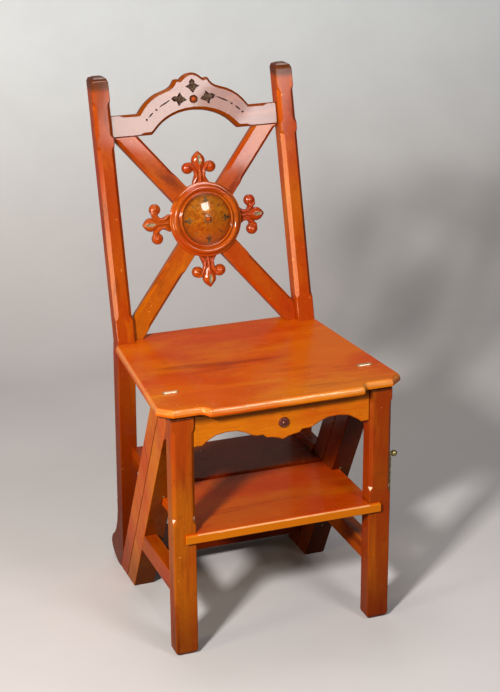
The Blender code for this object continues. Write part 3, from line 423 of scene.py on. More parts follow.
@dataclass(frozen=True)
class Mahogany:
    """French-polished mahogany with ribbon figure, open pores and a worn, uneven polish, with painted shade
    and highlights on some members.
    """

    name: str
    grain: Grain
    deep: Colour = (0.17, 0.016, 0.001)
    body: Colour = (0.40, 0.058, 0.0012)
    bright: Colour = (0.56, 0.115, 0.002)
    ribbon: float = 34.0
    roughness: float = 0.27
    coat: float = 1.0
    seed: float = 0.0
    # Rubbed front edge with a painted highlight, and painted shade under it.
    rubbed: Optional[WornEdgeHighlight] = None
    # Face that keeps the polish; the chamfers round it get painted shade.
    flat: Optional[Point] = None
    # Heights and share of a darkening towards the bottom: soil near the floor, and on the back posts painted
    # shade below the seat.
    soil_and_shade_heights: Point = (0.0, 0.15, 0.55)
    satin: float = 0.07
    # Heights of a dark band: painted shadow under the seat's edge on the apron and front legs, and a darker
    # top on the back posts.
    dark_band_heights: Optional[Flat] = None
    # Painted glints at the lower stops of the front legs' chamfers.
    glinted_stops: bool = False

    def layers(self, bench: NodeBench) -> tuple[Tap, Tap, Tap]:
        """Lay out the figure of the wood.

        Args:
            bench: the tree that the nodes go on.

        Returns:
            Colour, roughness and relief.
        """
        shift = tuple(self.seed * share for share in (0.37, 0.53, 0.29))

        def drawn(stretch: float) -> Tap:
            """Coordinates that draw a noise out along the fibres."""
            return bench.place(self.grain.value, (1.0, stretch, stretch), shift)

        bands = bench.noise(drawn(11.0), self.ribbon / 11.0, 5.0, 0.62, 0.35)
        sway = bench.noise(drawn(2.2), 4.6, 3.0, 0.6)
        fibre = bench.noise(drawn(38.0), 13.0, 4.0, 0.7)
        pores = bench.noise(drawn(17.0), 92.0, 2.0, 0.5)
        flecks = pores.between(0.60, 0.70)
        stops = ((0.26, self.deep), (0.42, self.body), (0.58, self.body), (0.76, self.bright))
        tone = bench.node("ShaderNodeValToRGB", {"stops": stops}, {0: bands})
        warmth = bench.blended(sway.between(0.36, 0.64), (0.96, 0.66, 0.7), (1.10, 1.42, 1.0))
        patch = bench.blended(1.0, tone, warmth, "MULTIPLY")
        fine = bench.blended(fibre.between(0.42, 0.70) * 0.28, patch, self.deep)
        pored = bench.blended(flecks * 0.28, fine, Tint.PORE.value)
        smears = bench.noise(bench.place(shift=shift), 16.0, 5.0, 0.6, 0.8)
        bruise = bench.noise(bench.place(shift=shift), 55.0, 3.0, 0.5)
        chips = bench.noise(bench.place(shift=shift), 170.0, 2.0, 0.4).between(0.735, 0.76)
        worn = bruise.between(0.62, 0.72) * 0.25
        aged = bench.blended(worn, pored, tuple(channel * 0.42 for channel in self.body))
        chipped = bench.blended(chips * 0.5, aged, Tint.CHIP.value)
        # Darker towards the bottom: soil near the floor, and on the back posts painted shade below the seat.
        height = bench.spot()[2]
        low, high, share = self.soil_and_shade_heights
        colour = bench.blended((1.0 - height.between(low, high)) * share, chipped, Tint.SOIL_AND_SHADE.value)
        gloss = smears.between(0.40, 0.70) * 0.12 + flecks * 0.12 + worn * 0.3 + self.roughness
        relief = bands * 0.25 + fibre * 0.20 - flecks * 0.5 + smears * 0.9 - chips * 1.2
        return colour, gloss, relief

    def polish(self, bench: NodeBench, colour: Tap, gloss: Tap, relief: Tap) -> Finish:
        """Lay the polish over the figure, with what wear has done to it, and the shade, shadow and highlights
        painted on some members.

        Args:
            bench: the tree that the nodes go on.
            colour: colour of the wood.
            gloss: roughness under the polish.
            relief: its unevenness.

        Returns:
            The finished material.
        """
        coat: Number = self.coat
        if self.flat:
            colour, coat = self._flatted(bench, colour)
        # Painted shadow under the seat's edge on the apron and front legs; on the back posts a darker top
        # band.
        if self.dark_band_heights:
            blend_share = bench.spot()[2].between(*self.dark_band_heights)
            colour = bench.blended(blend_share * 0.8, colour, Tint.DARK_BAND.value)
        # Painted shade on the strings' faces that don't look outwards, and the dark seam between them.
        if self.grain is Grain.STRING:
            colour, coat = self._seamed_and_shaded(bench, colour)
        # Painted highlight on the chamfer stops.
        if self.glinted_stops:
            colour = self._paint_stop_glints(bench, colour)
        # Rubbed edge, partly wear and partly a painted highlight, with painted shade underneath.
        if self.rubbed:
            colour, coat = self.rubbed.worn(bench, colour, self.coat)
        bench.set(base_color=colour, roughness=gloss, coat_weight=coat, coat_roughness=self.satin,
                  specular_ior_level=0.22, specular_tint=(1.0, 0.50, 0.20, 1.0),
                  normal=bench.bump(relief, 0.20, 0.0006))
        return bench.material

    def _flatted(self, bench: NodeBench, colour: Tap) -> tuple[Tap, Tap]:
        """Keep the polish to one flat face, thin in a patch of it, and paint shade on the chamfers round it.

        Args:
            bench: the tree that the nodes go on.
            colour: colour of the wood.

        Returns:
            Colour and polish.
        """
        inputs = {0: bench.facing(), 1: self.flat}
        facing = bench.node("ShaderNodeVectorMath", {"operation": "DOT_PRODUCT"}, inputs, "Value")
        level = facing.between(0.86, 0.97)
        across, _, height = bench.spot()
        thin = bench.oval(across, height, (0.055, 0.850), (0.052, 0.036), 0.6)
        # Painted shade on the chamfers that turn away from the flat face.
        chamfer_shaded = bench.blended((1.0 - level) * 0.7, colour, Tint.CHAMFER_SHADE.value)
        return chamfer_shaded, level * (self.coat - thin * 0.5)

    def _seamed_and_shaded(self, bench: NodeBench, colour: Tap) -> tuple[Tap, Tap]:
        """Darken the seam between two strings, and paint shade on their faces that don't look outwards.

        Args:
            bench: the tree that the nodes go on.
            colour: colour of the wood.

        Returns:
            Colour and polish.
        """
        # Painted shade on the faces that don't look outwards; the seam itself is a dark joint.
        painted_shade_faces = 1.0 - bench.axes(bench.facing())[0].size().between(0.5, 0.9)
        _, depth, height = bench.spot()
        away = (depth - HINGE_LINE[0]) * SEAM_NORMAL[0] + (height - HINGE_LINE[1]) * SEAM_NORMAL[1]
        seam_shade_share = (painted_shade_faces * 0.72).greatest((1.0 - away.size().between(0.0007, 0.0020)) * 0.85)
        return bench.blended(seam_shade_share, colour, Tint.SEAM.value), self.coat * (1.0 - seam_shade_share)

    @staticmethod
    def _paint_stop_glints(bench: NodeBench, colour: Tap) -> Tap:
        """Paint glints on the wedges at the lower stops of the front legs' chamfers.

        Args:
            bench: the tree that the nodes go on.
            colour: colour of the wood.

        Returns:
            The new colour.
        """
        leg_middle, to_chamfer, tip, top = 0.1787, 0.0181, 0.2500, 0.2580
        across, depth, height = bench.spot()
        aside = ((across.size() - leg_middle).size() - to_chamfer).size()
        below = 1.0 - height.between(top, top + 0.0015)
        # Painted highlight: near-white wedges where the chamfer stops catch the light.
        glint_wedge = ((height - tip) * 0.45 - aside).between(0.0, 0.0012) * below
        return bench.blended(glint_wedge * (1.0 - depth.between(-0.2220, -0.2185)) * 0.8, colour, Tint.STOP_GLINT.value)

    def make(self) -> Finish:
        """Build the material.

        Returns:
            Polished wood that follows the grain direction.
        """
        bench = NodeBench(self.name)
        return self.polish(bench, *self.layers(bench))


@dataclass(frozen=True)
class HollowReflectionMahogany(Mahogany):
    """Mahogany of a carved trefoil, with a grey-green reflection painted in its hollow."""

    frame: Matrix = field(default_factory=lambda: Matrix.Identity(4))
    middle: float = 0.040
    radii: Flat = (0.0033, 0.0092)
    # Colour of the painted reflection in the hollow.
    stain: Colour = (0.34, 0.30, 0.17)

    def make(self) -> Finish:
        """Build the material.

        Returns:
            Polished wood with the reflection painted in the hollow, in the trefoil's own frame.
        """
        bench = NodeBench(self.name)
        colour, gloss, relief = self.layers(bench)
        across, along, out = bench.axes(bench.seen_from(self.frame))
        inside = bench.oval(across, along, (0.0, self.middle), self.radii) * out.between(0.006, 0.008)
        # Painted reflection in the hollow, patchy.
        blend_share = bench.noise(bench.place(), 420.0, 3.0, 0.6)
        painted_reflection = bench.blended(blend_share.between(0.35, 0.62), (0.12, 0.09, 0.045), self.stain)
        return self.polish(bench, bench.blended(inside * 0.9, colour, painted_reflection), gloss + inside * 0.1, relief)


@dataclass(frozen=True)
class AmberVarnish:
    """Thick amber varnish over a turned dome, with small inlaid trefoils and darker where it pooled."""

    frame: Matrix
    name: str = "amber_dome"
    reach: float = 0.0455

    def inlay(self, bench: NodeBench, across: Tap, up: Tap) -> Tap:
        """Mask of the four trefoils and the strokes between them.

        Args:
            bench: the tree that the nodes go on.
            across: coordinate across the dome.
            up: coordinate up the dome.

        Returns:
            1 on the inlay.
        """
        first, second = across.size(), up.size()
        away, aside = first.greatest(second), first.least(second)
        petal = bench.oval(away, aside, (0.0388, 0.0), (0.0044, 0.0024))
        side = bench.oval(away, aside, (0.0338, 0.0033), (0.0022, 0.0024))
        stalk = bench.oval(away, aside, (0.0300, 0.0), (0.0048, 0.0009))
        slant_out = (away + aside) * math.sqrt(0.5)
        slant_in = (away - aside) * math.sqrt(0.5)
        stroke = bench.oval(slant_out, slant_in, (0.0330, 0.0), (0.0052, 0.0009))
        return petal.greatest(side).greatest(stalk).greatest(stroke)

    def make(self) -> Finish:
        """Build the material.

        Returns:
            Amber wood with dark inlay that darkens towards the dome's rim.
        """
        bench = NodeBench(self.name)
        across, up, _ = bench.axes(bench.seen_from(self.frame))
        rim = ((across * across + up * up).power(0.5) / self.reach).between(0.78, 1.0)
        coords = bench.place()
        mottle = bench.noise(coords, 120.0, 4.0, 0.6, 0.6)
        clouds = bench.noise(coords, 38.0, 3.0, 0.6, 0.4)
        fine = bench.noise(bench.place(Grain.UPRIGHT.value, (1.0, 12.0, 12.0)), 60.0, 3.0)
        stops = ((0.30, (0.13, 0.024, 0.001)), (0.48, (0.34, 0.078, 0.002)), (0.68, (0.48, 0.155, 0.004)))
        tone = bench.node("ShaderNodeValToRGB", {"stops": stops}, {0: mottle})
        cloudy = bench.blended(clouds.between(0.38, 0.62) * 0.5, tone, (0.30, 0.105, 0.003))
        lined = bench.blended(fine.between(0.45, 0.72) * 0.3, cloudy, (0.15, 0.030, 0.002))
        redder = bench.blended((1.0 - up.between(-0.034, 0.012)) * 0.65, lined, (0.36, 0.052, 0.001))
        pooled = bench.blended(rim * 0.6, redder, (0.15, 0.020, 0.001))
        inlay = self.inlay(bench, across, up)
        inlay = inlay.greatest(bench.oval(across, up, (0.0, 0.0), (0.0076, 0.0076), 0.2))
        dark = bench.blended(mottle.between(0.4, 0.6), (0.020, 0.014, 0.007), (0.080, 0.060, 0.028))
        bench.set(base_color=bench.blended(inlay * 0.9, pooled, dark),
                  roughness=mottle.between(0.3, 0.8) * 0.10 + 0.16 + inlay * 0.1, coat_weight=1.0,
                  coat_roughness=0.045, specular_ior_level=0.4, specular_tint=(1.0, 0.65, 0.35, 1.0),
                  normal=bench.bump(mottle + fine * 0.5 - inlay * 1.5, 0.18, 0.0005))
        return bench.material


@dataclass(frozen=True)
class Ebonised:
    """Dark stain laid into a carved line or leaf, olive where it has faded."""

    name: str = "dark_inlay"
    dark: Colour = (0.014, 0.007, 0.006)
    faded: Colour = (0.060, 0.026, 0.018)

    def make(self) -> Finish:
        """Build the material.

        Returns:
            Near-black satin stain.
        """
        bench = NodeBench(self.name)
        blend_share = bench.noise(bench.place(), 260.0, 4.0, 0.6)
        tone = bench.blended(blend_share.between(0.36, 0.66), self.dark, self.faded)
        bench.set(base_color=tone, roughness=blend_share * 0.3 + 0.45, coat_weight=0.0, coat_roughness=0.2,
                  specular_ior_level=0.06, normal=bench.bump(blend_share, 0.35, 0.0003))
        return bench.material


@dataclass(frozen=True)
class Brass:
    """Cast brass with tarnish in its hollows and rubbed highlights."""

    name: str
    clean: Colour = (0.80, 0.60, 0.26)
    tarnish: Colour = (0.17, 0.15, 0.055)
    share: float = 0.45
    roughness: float = 0.20
    bright_middle: float = 0.0

    def make(self) -> Finish:
        """Build the material.

        Returns:
            Brass whose tarnish varies over the surface, and grows away from a rubbed middle.
        """
        bench = NodeBench(self.name)
        clouds = bench.noise(bench.place(), 190.0, 5.0, 0.62, 0.5)
        specks = bench.noise(bench.place(shift=(0.4, 0.1, 0.2)), 900.0, 2.0)
        dull = clouds.between(0.62 - self.share * 0.5, 0.80 - self.share * 0.5)
        if self.bright_middle:
            ends = (bench.spot()[0].size() - self.bright_middle).size().between(0.0085, 0.0115)
            dull = dull.greatest(ends)
        colour = bench.blended(dull * 0.85, self.clean, self.tarnish)
        spotted = bench.blended(specks.between(0.62, 0.70) * 0.4, colour, (0.06, 0.045, 0.02))
        bench.set(base_color=spotted, metallic=1.0 - dull * 0.35, roughness=dull * 0.28 + self.roughness,
                  normal=bench.bump(clouds + specks * 0.4, 0.25, 0.0003))
        return bench.material


@dataclass(frozen=True)
class Paper:
    """Matt pale surface of the studio: a warm floor that turns into a cooler wall."""

    name: str = "studio_paper"
    floor: Colour = (0.600, 0.575, 0.575)
    wall: Colour = (0.91, 0.965, 1.0)
    shade: Colour = (0.16, 0.145, 0.140)
    mirrored: float = 0.09
    rim: Flat = (2.7, 3.8)

    def make(self) -> Finish:
        """Build the material.

        Returns:
            Pale paper with a faint unevenness, which throws little light back at the object, thins
            out far from it and can't be seen from behind.
        """
        bench = NodeBench(self.name)
        mottle = bench.noise(bench.place(), 7.0, 6.0, 0.6)
        rise = bench.spot()[2].between(0.02, 0.9)
        colour = bench.blended(rise, self.floor, self.wall)
        uneven = bench.blended(mottle.between(0.3, 0.7) * 0.08, colour, (0.42, 0.41, 0.42))
        seen = bench.seen(self.mirrored)
        bench.set(base_color=bench.blended(seen, self.shade, uneven), roughness=0.9, specular_ior_level=0.2)
        across, along, _ = bench.spot()
        rim = (across * across + along * along).power(0.5).between(*self.rim)
        gone = rim.greatest(bench.node("ShaderNodeNewGeometry", output="Backfacing"))
        clear = bench.node("ShaderNodeBsdfTransparent")
        paper = Tap(bench, bench.shader.outputs[0])
        mixed = bench.node("ShaderNodeMixShader", None, {0: gone, 1: paper, 2: clear})
        bench.feed(bench.tree.nodes["Material Output"].inputs["Surface"], mixed)
        return bench.material


# Making pieces


class Workshop:
    """Blender's own modelling tools, used the way a maker would by hand."""

    @staticmethod
    def rest() -> None:
        """Leave edit mode and put every piece down."""
        if bpy.context.object and bpy.context.object.mode != "OBJECT":
            bpy.ops.object.mode_set(mode="OBJECT")
        bpy.ops.object.select_all(action="DESELECT")

    @staticmethod
    def take(piece: Piece) -> None:
        """Select one piece alone and make it the active one.

        Args:
            piece: the piece that is taken up.
        """
        Workshop.rest()
        piece.select_set(True)
        bpy.context.view_layer.objects.active = piece

    @staticmethod
    @contextmanager
    def editing(piece: Piece) -> Iterator[None]:
        """Work on the whole mesh of one piece until the block ends.

        Args:
            piece: the piece that is worked on.

        Yields:
            Nothing, while edit mode is on.
        """
        Workshop.take(piece)
        bpy.ops.object.mode_set(mode="EDIT")
        bpy.ops.mesh.select_all(action="SELECT")
        yield
        bpy.ops.object.mode_set(mode="OBJECT")

    @staticmethod
    @contextmanager
    def chosen(piece: Piece, kind: str, wanted: Callable[[object], bool]) -> Iterator[None]:
        """Work on some faces, edges or vertices of one piece until the block ends.

        Args:
            piece: the piece that is worked on.
            kind: "FACE", "EDGE" or "VERT".
            wanted: test on each of them.

        Yields:
            Nothing, while they are selected in edit mode.
        """
        with Workshop.editing(piece):
            bpy.ops.mesh.select_mode(type=kind)
            bpy.ops.mesh.select_all(action="DESELECT")
        mesh = piece.data
        for item in {"FACE": mesh.polygons, "EDGE": mesh.edges, "VERT": mesh.vertices}[kind]:
            item.select = bool(wanted(item))
        bpy.ops.object.mode_set(mode="EDIT")
        yield
        bpy.ops.object.mode_set(mode="OBJECT")

    @staticmethod
    def both_ends(piece: Piece, wanted: Callable[[Vector], bool]) -> Callable[[object], bool]:
        """Test on an edge that its two ends have to pass."""
        return lambda edge: all(wanted(piece.data.vertices[index].co) for index in edge.vertices)

    @staticmethod
    def modify(piece: Piece, kind: str, **settings: object) -> None:
        """Add one modifier with its settings and apply it.

        Args:
            piece: the piece that is worked on.
            kind: the modifier's type.
            settings: its own properties.
        """
        Workshop.take(piece)
        bpy.ops.object.modifier_add(type=kind)
        modifier = piece.modifiers[-1]
        for key, value in settings.items():
            setattr(modifier, key, value)
        bpy.ops.object.modifier_apply(modifier=modifier.name)

    @staticmethod
    def place(piece: Piece, matrix: Matrix) -> None:
        """Put a piece in its place and leave its object at the origin.

        Args:
            piece: the piece that is worked on.
            matrix: where it goes, from where it is.
        """
        Workshop.take(piece)
        piece.matrix_world = matrix @ piece.matrix_world
        bpy.ops.object.transform_apply(location=True, rotation=True, scale=True)

    @staticmethod
    def outward(piece: Piece) -> None:
        """Merge doubles and turn every face outwards.

        Args:
            piece: the piece that is worked on.
        """
        with Workshop.editing(piece):
            bpy.ops.mesh.remove_doubles(threshold=0.00001)
            bpy.ops.mesh.normals_make_consistent(inside=False)

    @staticmethod
    def smooth(piece: Piece, angle: float = 35.0) -> None:
        """Shade a piece smooth up to an angle between its faces."""
        Workshop.take(piece)
        bpy.ops.object.shade_smooth_by_angle(angle=math.radians(angle))

    @staticmethod
    def eased(piece: Piece, width: float, steps: int = 2, angle: float = 24.0) -> None:
        """Round the arrises of a piece and keep its flats flat.

        Args:
            piece: the piece that is worked on.
            width: width of the rounding.
            steps: faces across the rounding.
            angle: least angle between two faces that makes an arris.
        """
        Workshop.modify(piece, "BEVEL", width=width, segments=steps, limit_method="ANGLE",
                        angle_limit=math.radians(angle), use_clamp_overlap=True)
        Workshop.smooth(piece, 50.0)
        Workshop.modify(piece, "WEIGHTED_NORMAL", weight=60, keep_sharp=True)

    @staticmethod
    def joined(pieces: Sequence[Piece], name: str) -> Piece:
        """Join pieces into the first one.

        Args:
            pieces: what is joined.
            name: name of the whole.

        Returns:
            The first piece, with all the others in it.
        """
        Workshop.take(pieces[0])
        for piece in pieces:
            piece.select_set(True)
        if len(pieces) > 1:
            bpy.ops.object.join()
        pieces[0].name = name
        return pieces[0]

    @staticmethod
    def drawn_up(height: float) -> None:
        """Extrude what is selected straight up."""
        bpy.ops.mesh.extrude_region_move(TRANSFORM_OT_translate={"value": (0.0, 0.0, height)})

    @staticmethod
    def lathe(name: str, profile: Sequence[Flat], segments: int = 64) -> Piece:
        """Turn a closed solid about Z from a disc that is drawn up and scaled ring by ring.

        Args:
            name: the piece's name.
            profile: radius and height of each ring, from the back to the front.
            segments: points round each ring.

        Returns:
            The turned piece, standing on Z at the origin.
        """
        Workshop.rest()
        radius, height = profile[0]
        bpy.ops.mesh.primitive_circle_add(vertices=segments, radius=radius, fill_type="NGON",
                                          location=(0.0, 0.0, height))
        piece = bpy.context.object
        piece.name = name
        with Workshop.editing(piece):
            bpy.ops.mesh.select_mode(type="FACE")
            for ring_radius, ring_height in profile[1:]:
                Workshop.drawn_up(ring_height - height)
                share = ring_radius / radius
                bpy.ops.transform.resize(value=(share, share, 1.0), center_override=(0.0, 0.0, ring_height))
                radius, height = ring_radius, ring_height
        Workshop.outward(piece)
        Workshop.smooth(piece, 40.0)
        return piece

    @staticmethod
    def plate(name: str, outline: Sequence[Flat], thickness: float) -> Piece:
        """Cut a plate to an outline in X and Y and give it its thickness along Z.

        Args:
            name: the piece's name.
            outline: the plate's edge, anticlockwise.
            thickness: its height above the plane.

        Returns:
            The flat piece, lying on the plane at the origin.
        """
        Workshop.rest()
        bpy.ops.mesh.primitive_circle_add(vertices=len(outline), radius=1.0, fill_type="NGON")
        piece = bpy.context.object
        piece.name = name
        for vertex, (a, b) in zip(piece.data.vertices, outline):
            vertex.co = (a, b, 0.0)
        with Workshop.editing(piece):
            Workshop.drawn_up(thickness)
        Workshop.outward(piece)
        return piece

    @staticmethod
    def trail(path: Sequence[Point], sizes: Sequence[Flat], steps: int) -> list[tuple[Point, Point]]:
        """Space swellings along a path.

        Args:
            path: points that the trail goes through.
            sizes: radius in the plane and radius to the front at each point.
            steps: swellings in all.

        Returns:
            Middle and radii of each swelling.
        """
        beads = []
        spans = len(path) - 1
        for step in range(steps):
            where = spans * step / (steps - 1)
            span = min(int(where), spans - 1)
            share = where - span
            middle = Vector(path[span]).lerp(Vector(path[span + 1]), share)
            size = Vector(sizes[span]).lerp(Vector(sizes[span + 1]), share)
            beads.append((tuple(middle), (size.x, size.x, size.y)))
        return beads

    @staticmethod
    def beaded(name: str, beads: Sequence[tuple[Point, Point]], fineness: int = 2) -> Piece:
        """Mesh of many rounded swellings, which a remesh melts together later.

        Args:
            name: the piece's name.
            beads: middle and radii of each swelling.
            fineness: subdivisions of each.

        Returns:
            One object at the origin.
        """
        Workshop.rest()
        bpy.ops.mesh.primitive_ico_sphere_add(subdivisions=1, radius=0.001, location=(0.0, 0.0, 0.0))
        piece = bpy.context.object
        piece.name = name
        with Workshop.editing(piece):
            bpy.ops.mesh.delete(type="VERT")
            for middle, radii in beads:
                bpy.ops.mesh.primitive_ico_sphere_add(subdivisions=fineness, radius=1.0, location=middle,
                                                      scale=radii)
        return piece

    @staticmethod
    def scooped(piece: Piece, cutter: Piece) -> None:
        """Cut a shape out of a piece and throw the shape away."""
        Workshop.modify(piece, "BOOLEAN", operation="DIFFERENCE", solver="EXACT", object=cutter)
        bpy.data.objects.remove(cutter, do_unlink=True)

    @staticmethod
    def copied(piece: Piece, name: str) -> Piece:
        """Copy a piece with a mesh of its own.

        Args:
            piece: the piece that is worked on.
            name: the copy's name.

        Returns:
            The copy.
        """
        Workshop.take(piece)
        bpy.ops.object.duplicate(linked=False)
        copy = bpy.context.object
        copy.name = name
        return copy

    @staticmethod
    def from_node(node: str, name: str) -> Piece:
        """Free, merged copy of a CAD node's mesh.

        Args:
            node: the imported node.
            name: the copy's name.

        Returns:
            The copy, with its flats dissolved into single faces.
        """
        Workshop.rest()
        source = frame["nodes"][node]
        piece = bpy.data.objects.new(name, source.data.copy())
        bpy.context.scene.collection.objects.link(piece)
        piece.data.materials.clear()
        Workshop.take(piece)
        if piece.data.has_custom_normals:
            bpy.ops.mesh.customdata_custom_splitnormals_clear()
        with Workshop.editing(piece):
            bpy.ops.mesh.remove_doubles(threshold=0.00002)
            bpy.ops.mesh.dissolve_limited(angle_limit=math.radians(1.0))
        return piece


class Body(Enum):
    """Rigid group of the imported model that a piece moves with."""

    STAND = "stand"
    FRAME = "folding_frame"
    HOOK = "hook"


def fit(piece: Piece, body: Body, material: Finish, slot: str, *nodes: str) -> None:
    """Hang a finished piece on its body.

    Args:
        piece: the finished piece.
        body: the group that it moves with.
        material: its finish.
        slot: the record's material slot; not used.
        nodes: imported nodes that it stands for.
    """
    piece.data.materials.clear()
    piece.data.materials.append(material)
    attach(piece, body.value)
    if nodes:
        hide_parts(*nodes)
    LOG.info("%s on %s, %d faces", piece.name, body.value, len(piece.data.polygons))


@dataclass
class BackPlane:
    """Raked plane of the back: across, along the rake from the seat top, and out to the front."""

    setback: float = 0.325 - FRONT_TO_ORIGIN
    seat_top: float = 0.457
    rake: float = math.atan(0.262)
    face: float = -0.012

    def matrix(self, u: float, v: float, n: float, turn: float = 0.0) -> Matrix:
        """Frame on the plane whose Z axis points out of its front.

        Args:
            u: distance across.
            v: distance up the rake.
            n: distance in front of the plane.
            turn: turn in the plane, in radians.

        Returns:
            The frame as a matrix.
        """
        sine, cosine = math.sin(self.rake), math.cos(self.rake)
        across = Vector((1.0, 0.0, 0.0))
        up = Vector((0.0, sine, cosine))
        out = Vector((0.0, -cosine, sine))
        origin = Vector((0.0, self.setback, self.seat_top)) + across * u + up * v + out * n
        axes = Matrix((across, up, out)).transposed().to_4x4()
        return Matrix.Translation(origin) @ axes @ Matrix.Rotation(turn, 4, "Z")


# Rubbed front edges; each band also carries a painted highlight.
WORN_EDGE_HIGHLIGHTS = {
    "lower_tread": WornEdgeHighlight(0.2262, 0.2400, -0.2308, 0.0016, 0.157, 0.8, (1.0, 0.78, 0.46)),
    "front_seat_strip": WornEdgeHighlight(0.4474, 0.4557),
    "main_seat": WornEdgeHighlight(0.4490, 0.4557),
}


@dataclass
class Joinery:
    """Plain wooden members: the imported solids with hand-rounded arrises."""

    finishes: dict[str, Finish] = field(default_factory=dict)
    red: Colour = (0.38, 0.040, 0.001)
    golden: Colour = (0.43, 0.086, 0.0015)
    crest_plank: int = 16
    post_planks: tuple[int, int] = (7, 8)
    leg_planks: tuple[int, int] = (1, 2)
    apron_plank: int = 13
    # Dark bands: painted shadow under the seat's edge on the apron and front legs, and a darker top on the
    # back posts.
    apron_painted_shadow: Flat = (0.4215, 0.4330)
    leg_painted_shadow: Flat = (0.4335, 0.4370)
    post_dark_top: Flat = (0.886, 0.899)
    back_face: Point = (0.0, -0.9674, 0.2534)

    def body_colour(self, gold: float, light: float) -> Colour:
        """Colour of a plank between red and golden."""
        return tuple((a + (b - a) * gold) * light for a, b in zip(self.red, self.golden))

    @staticmethod
    def tinged(colour: Colour, factors: Union[Colour, float]) -> Colour:
        """Colour with each channel, or all three, multiplied."""
        factors = factors if isinstance(factors, tuple) else (factors,) * 3
        return tuple(channel * factor for channel, factor in zip(colour, factors))

    def wood(self, grain: Grain, seed: int, gold: float = 0.5, light: float = 1.0,
             coat: float = 0.3) -> Finish:
        """Finish for one member, cut from its own plank.

        Args:
            grain: direction of its fibres.
            seed: number of the plank.
            gold: 0 for a red plank, 1 for a golden one.
            light: how light the plank is.
            coat: how full its polish is.

        Returns:
            The material, made once for each plank.
        """
        key = "mahogany_%s_%d" % (grain.name.lower(), seed)
        if key not in self.finishes:
            body = self.body_colour(gold, light)
            flat = self.back_face if seed == self.crest_plank else None
            # The back posts darken all the way up to the seat: painted shade below it.
            soil_and_shade_heights = (0.04, 0.54, 0.85) if seed in self.post_planks else (0.0, 0.15, 0.55)
            dark_band_heights = {self.apron_plank: self.apron_painted_shadow, **dict.fromkeys(self.leg_planks, self.leg_painted_shadow),
                      **dict.fromkeys(self.post_planks, self.post_dark_top)}
            deep = self.tinged(Mahogany.deep, 0.4 + 0.6 * light)
            bright = self.tinged(Mahogany.bright, 0.2 + 0.8 * light)
            self.finishes[key] = Mahogany(
                key, grain, deep, body, bright, coat=coat, seed=float(seed), flat=flat, soil_and_shade_heights=soil_and_shade_heights,
                dark_band_heights=dark_band_heights.get(seed), glinted_stops=seed in self.leg_planks).make()
        return self.finishes[key]

    def board(self, name: str, seed: int, gold: float, light: float) -> Finish:
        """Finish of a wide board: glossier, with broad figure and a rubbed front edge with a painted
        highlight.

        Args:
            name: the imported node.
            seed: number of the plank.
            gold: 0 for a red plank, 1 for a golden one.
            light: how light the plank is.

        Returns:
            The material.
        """
        # The factor 1.12 lifts every board's tone: painted light on the level tops.
        body = self.body_colour(gold, 1.12 * light)
        deep, bright = self.tinged(body, (0.48, 0.30, 0.5)), self.tinged(body, (1.25, 1.7, 1.5))
        return Mahogany("board_" + name, Grain.ACROSS, deep, body, bright, ribbon=24.0, roughness=0.22,
                        coat=0.13, seed=float(seed), rubbed=WORN_EDGE_HIGHLIGHTS.get(name)).make()

    @staticmethod
    def moved(piece: Piece, shift: Point, wanted: Callable[[Vector], bool]) -> None:
        """Shift the corners of a piece that pass a test."""
        with Workshop.chosen(piece, "VERT", lambda vertex: wanted(vertex.co)):
            bpy.ops.transform.translate(value=shift)

    @staticmethod
    def softened(piece: Piece, width: float, low: float, high: float) -> None:
        """Round the level arrises between two heights.

        Args:
            piece: the piece that is worked on.
            width: width of the rounding.
            low: lower height.
            high: upper height.
        """
        level = Workshop.both_ends(piece, lambda place: low < place.z < high)
        with Workshop.chosen(piece, "EDGE", level):
            bpy.ops.mesh.bevel(offset=width, segments=4)

    @staticmethod
    def footed(piece: Piece) -> None:
        """Wear the foot of a leg round: draw the sole in, and push the arris above it up.

        Args:
            piece: the piece that is worked on.
        """
        middle = sum((Vector(corner) for corner in piece.bound_box), Vector()) / 8
        sole = 0.0002
        with Workshop.chosen(piece, "VERT", lambda vertex: vertex.co.z < sole):
            bpy.ops.transform.resize(value=(0.80, 0.76, 1.0), center_override=(middle.x, middle.y, 0.0))
        Joinery.moved(piece, (0.0, 0.0, 0.0050), lambda place: sole < place.z < 0.0040)
        Joinery.softened(piece, 0.0026, 0.0045, 0.0095)

    def shaped(self, node: str, piece: Piece) -> None:
        """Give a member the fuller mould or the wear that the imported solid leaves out.

        Args:
            node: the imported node.
            piece: its copy.
        """
        if node in ("front_seat_strip", "main_seat"):
            for arris, drop in ((0.4507, -0.0028), (0.4546, -0.0014)):
                self.moved(piece, (0.0, 0.0, drop), lambda place: abs(place.z - arris) < 0.0003)
            self.softened(piece, 0.0019, 0.4529, 0.4535)
        elif node == "lower_tread":
            nose, below_top, top = -0.2321, 0.2284, 0.2299
            self.moved(piece, (0.0, 0.0, -0.0024), lambda place: place.y < nose and place.z > below_top)
            self.moved(piece, (0.0, 0.0024, 0.0),
                       lambda place: -0.2312 < place.y < -0.2309 and place.z > top)
        elif node.startswith("front_leg"):
            self.footed(piece)

    def rounded(self, node: str, body: Body, material: Finish, slot: str = "mahogany",
                width: float = 0.0011, steps: int = 3) -> None:
        """Copy a member and round its arrises.

        Args:
            node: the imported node.
            body: the group that it moves with.
            material: its finish.
            slot: the record's material slot.
            width: radius of the arris.
            steps: faces round the arris.
        """
        piece = Workshop.from_node(node, "eased_" + node)
        self.shaped(node, piece)
        Workshop.eased(piece, width, steps)
        fit(piece, body, material, slot, node)

    def build(self) -> None:
        """Round and polish every plain member."""
        stand, folding = Body.STAND, Body.FRAME
        upright, string, deep = Grain.UPRIGHT, Grain.STRING, Grain.DEEP
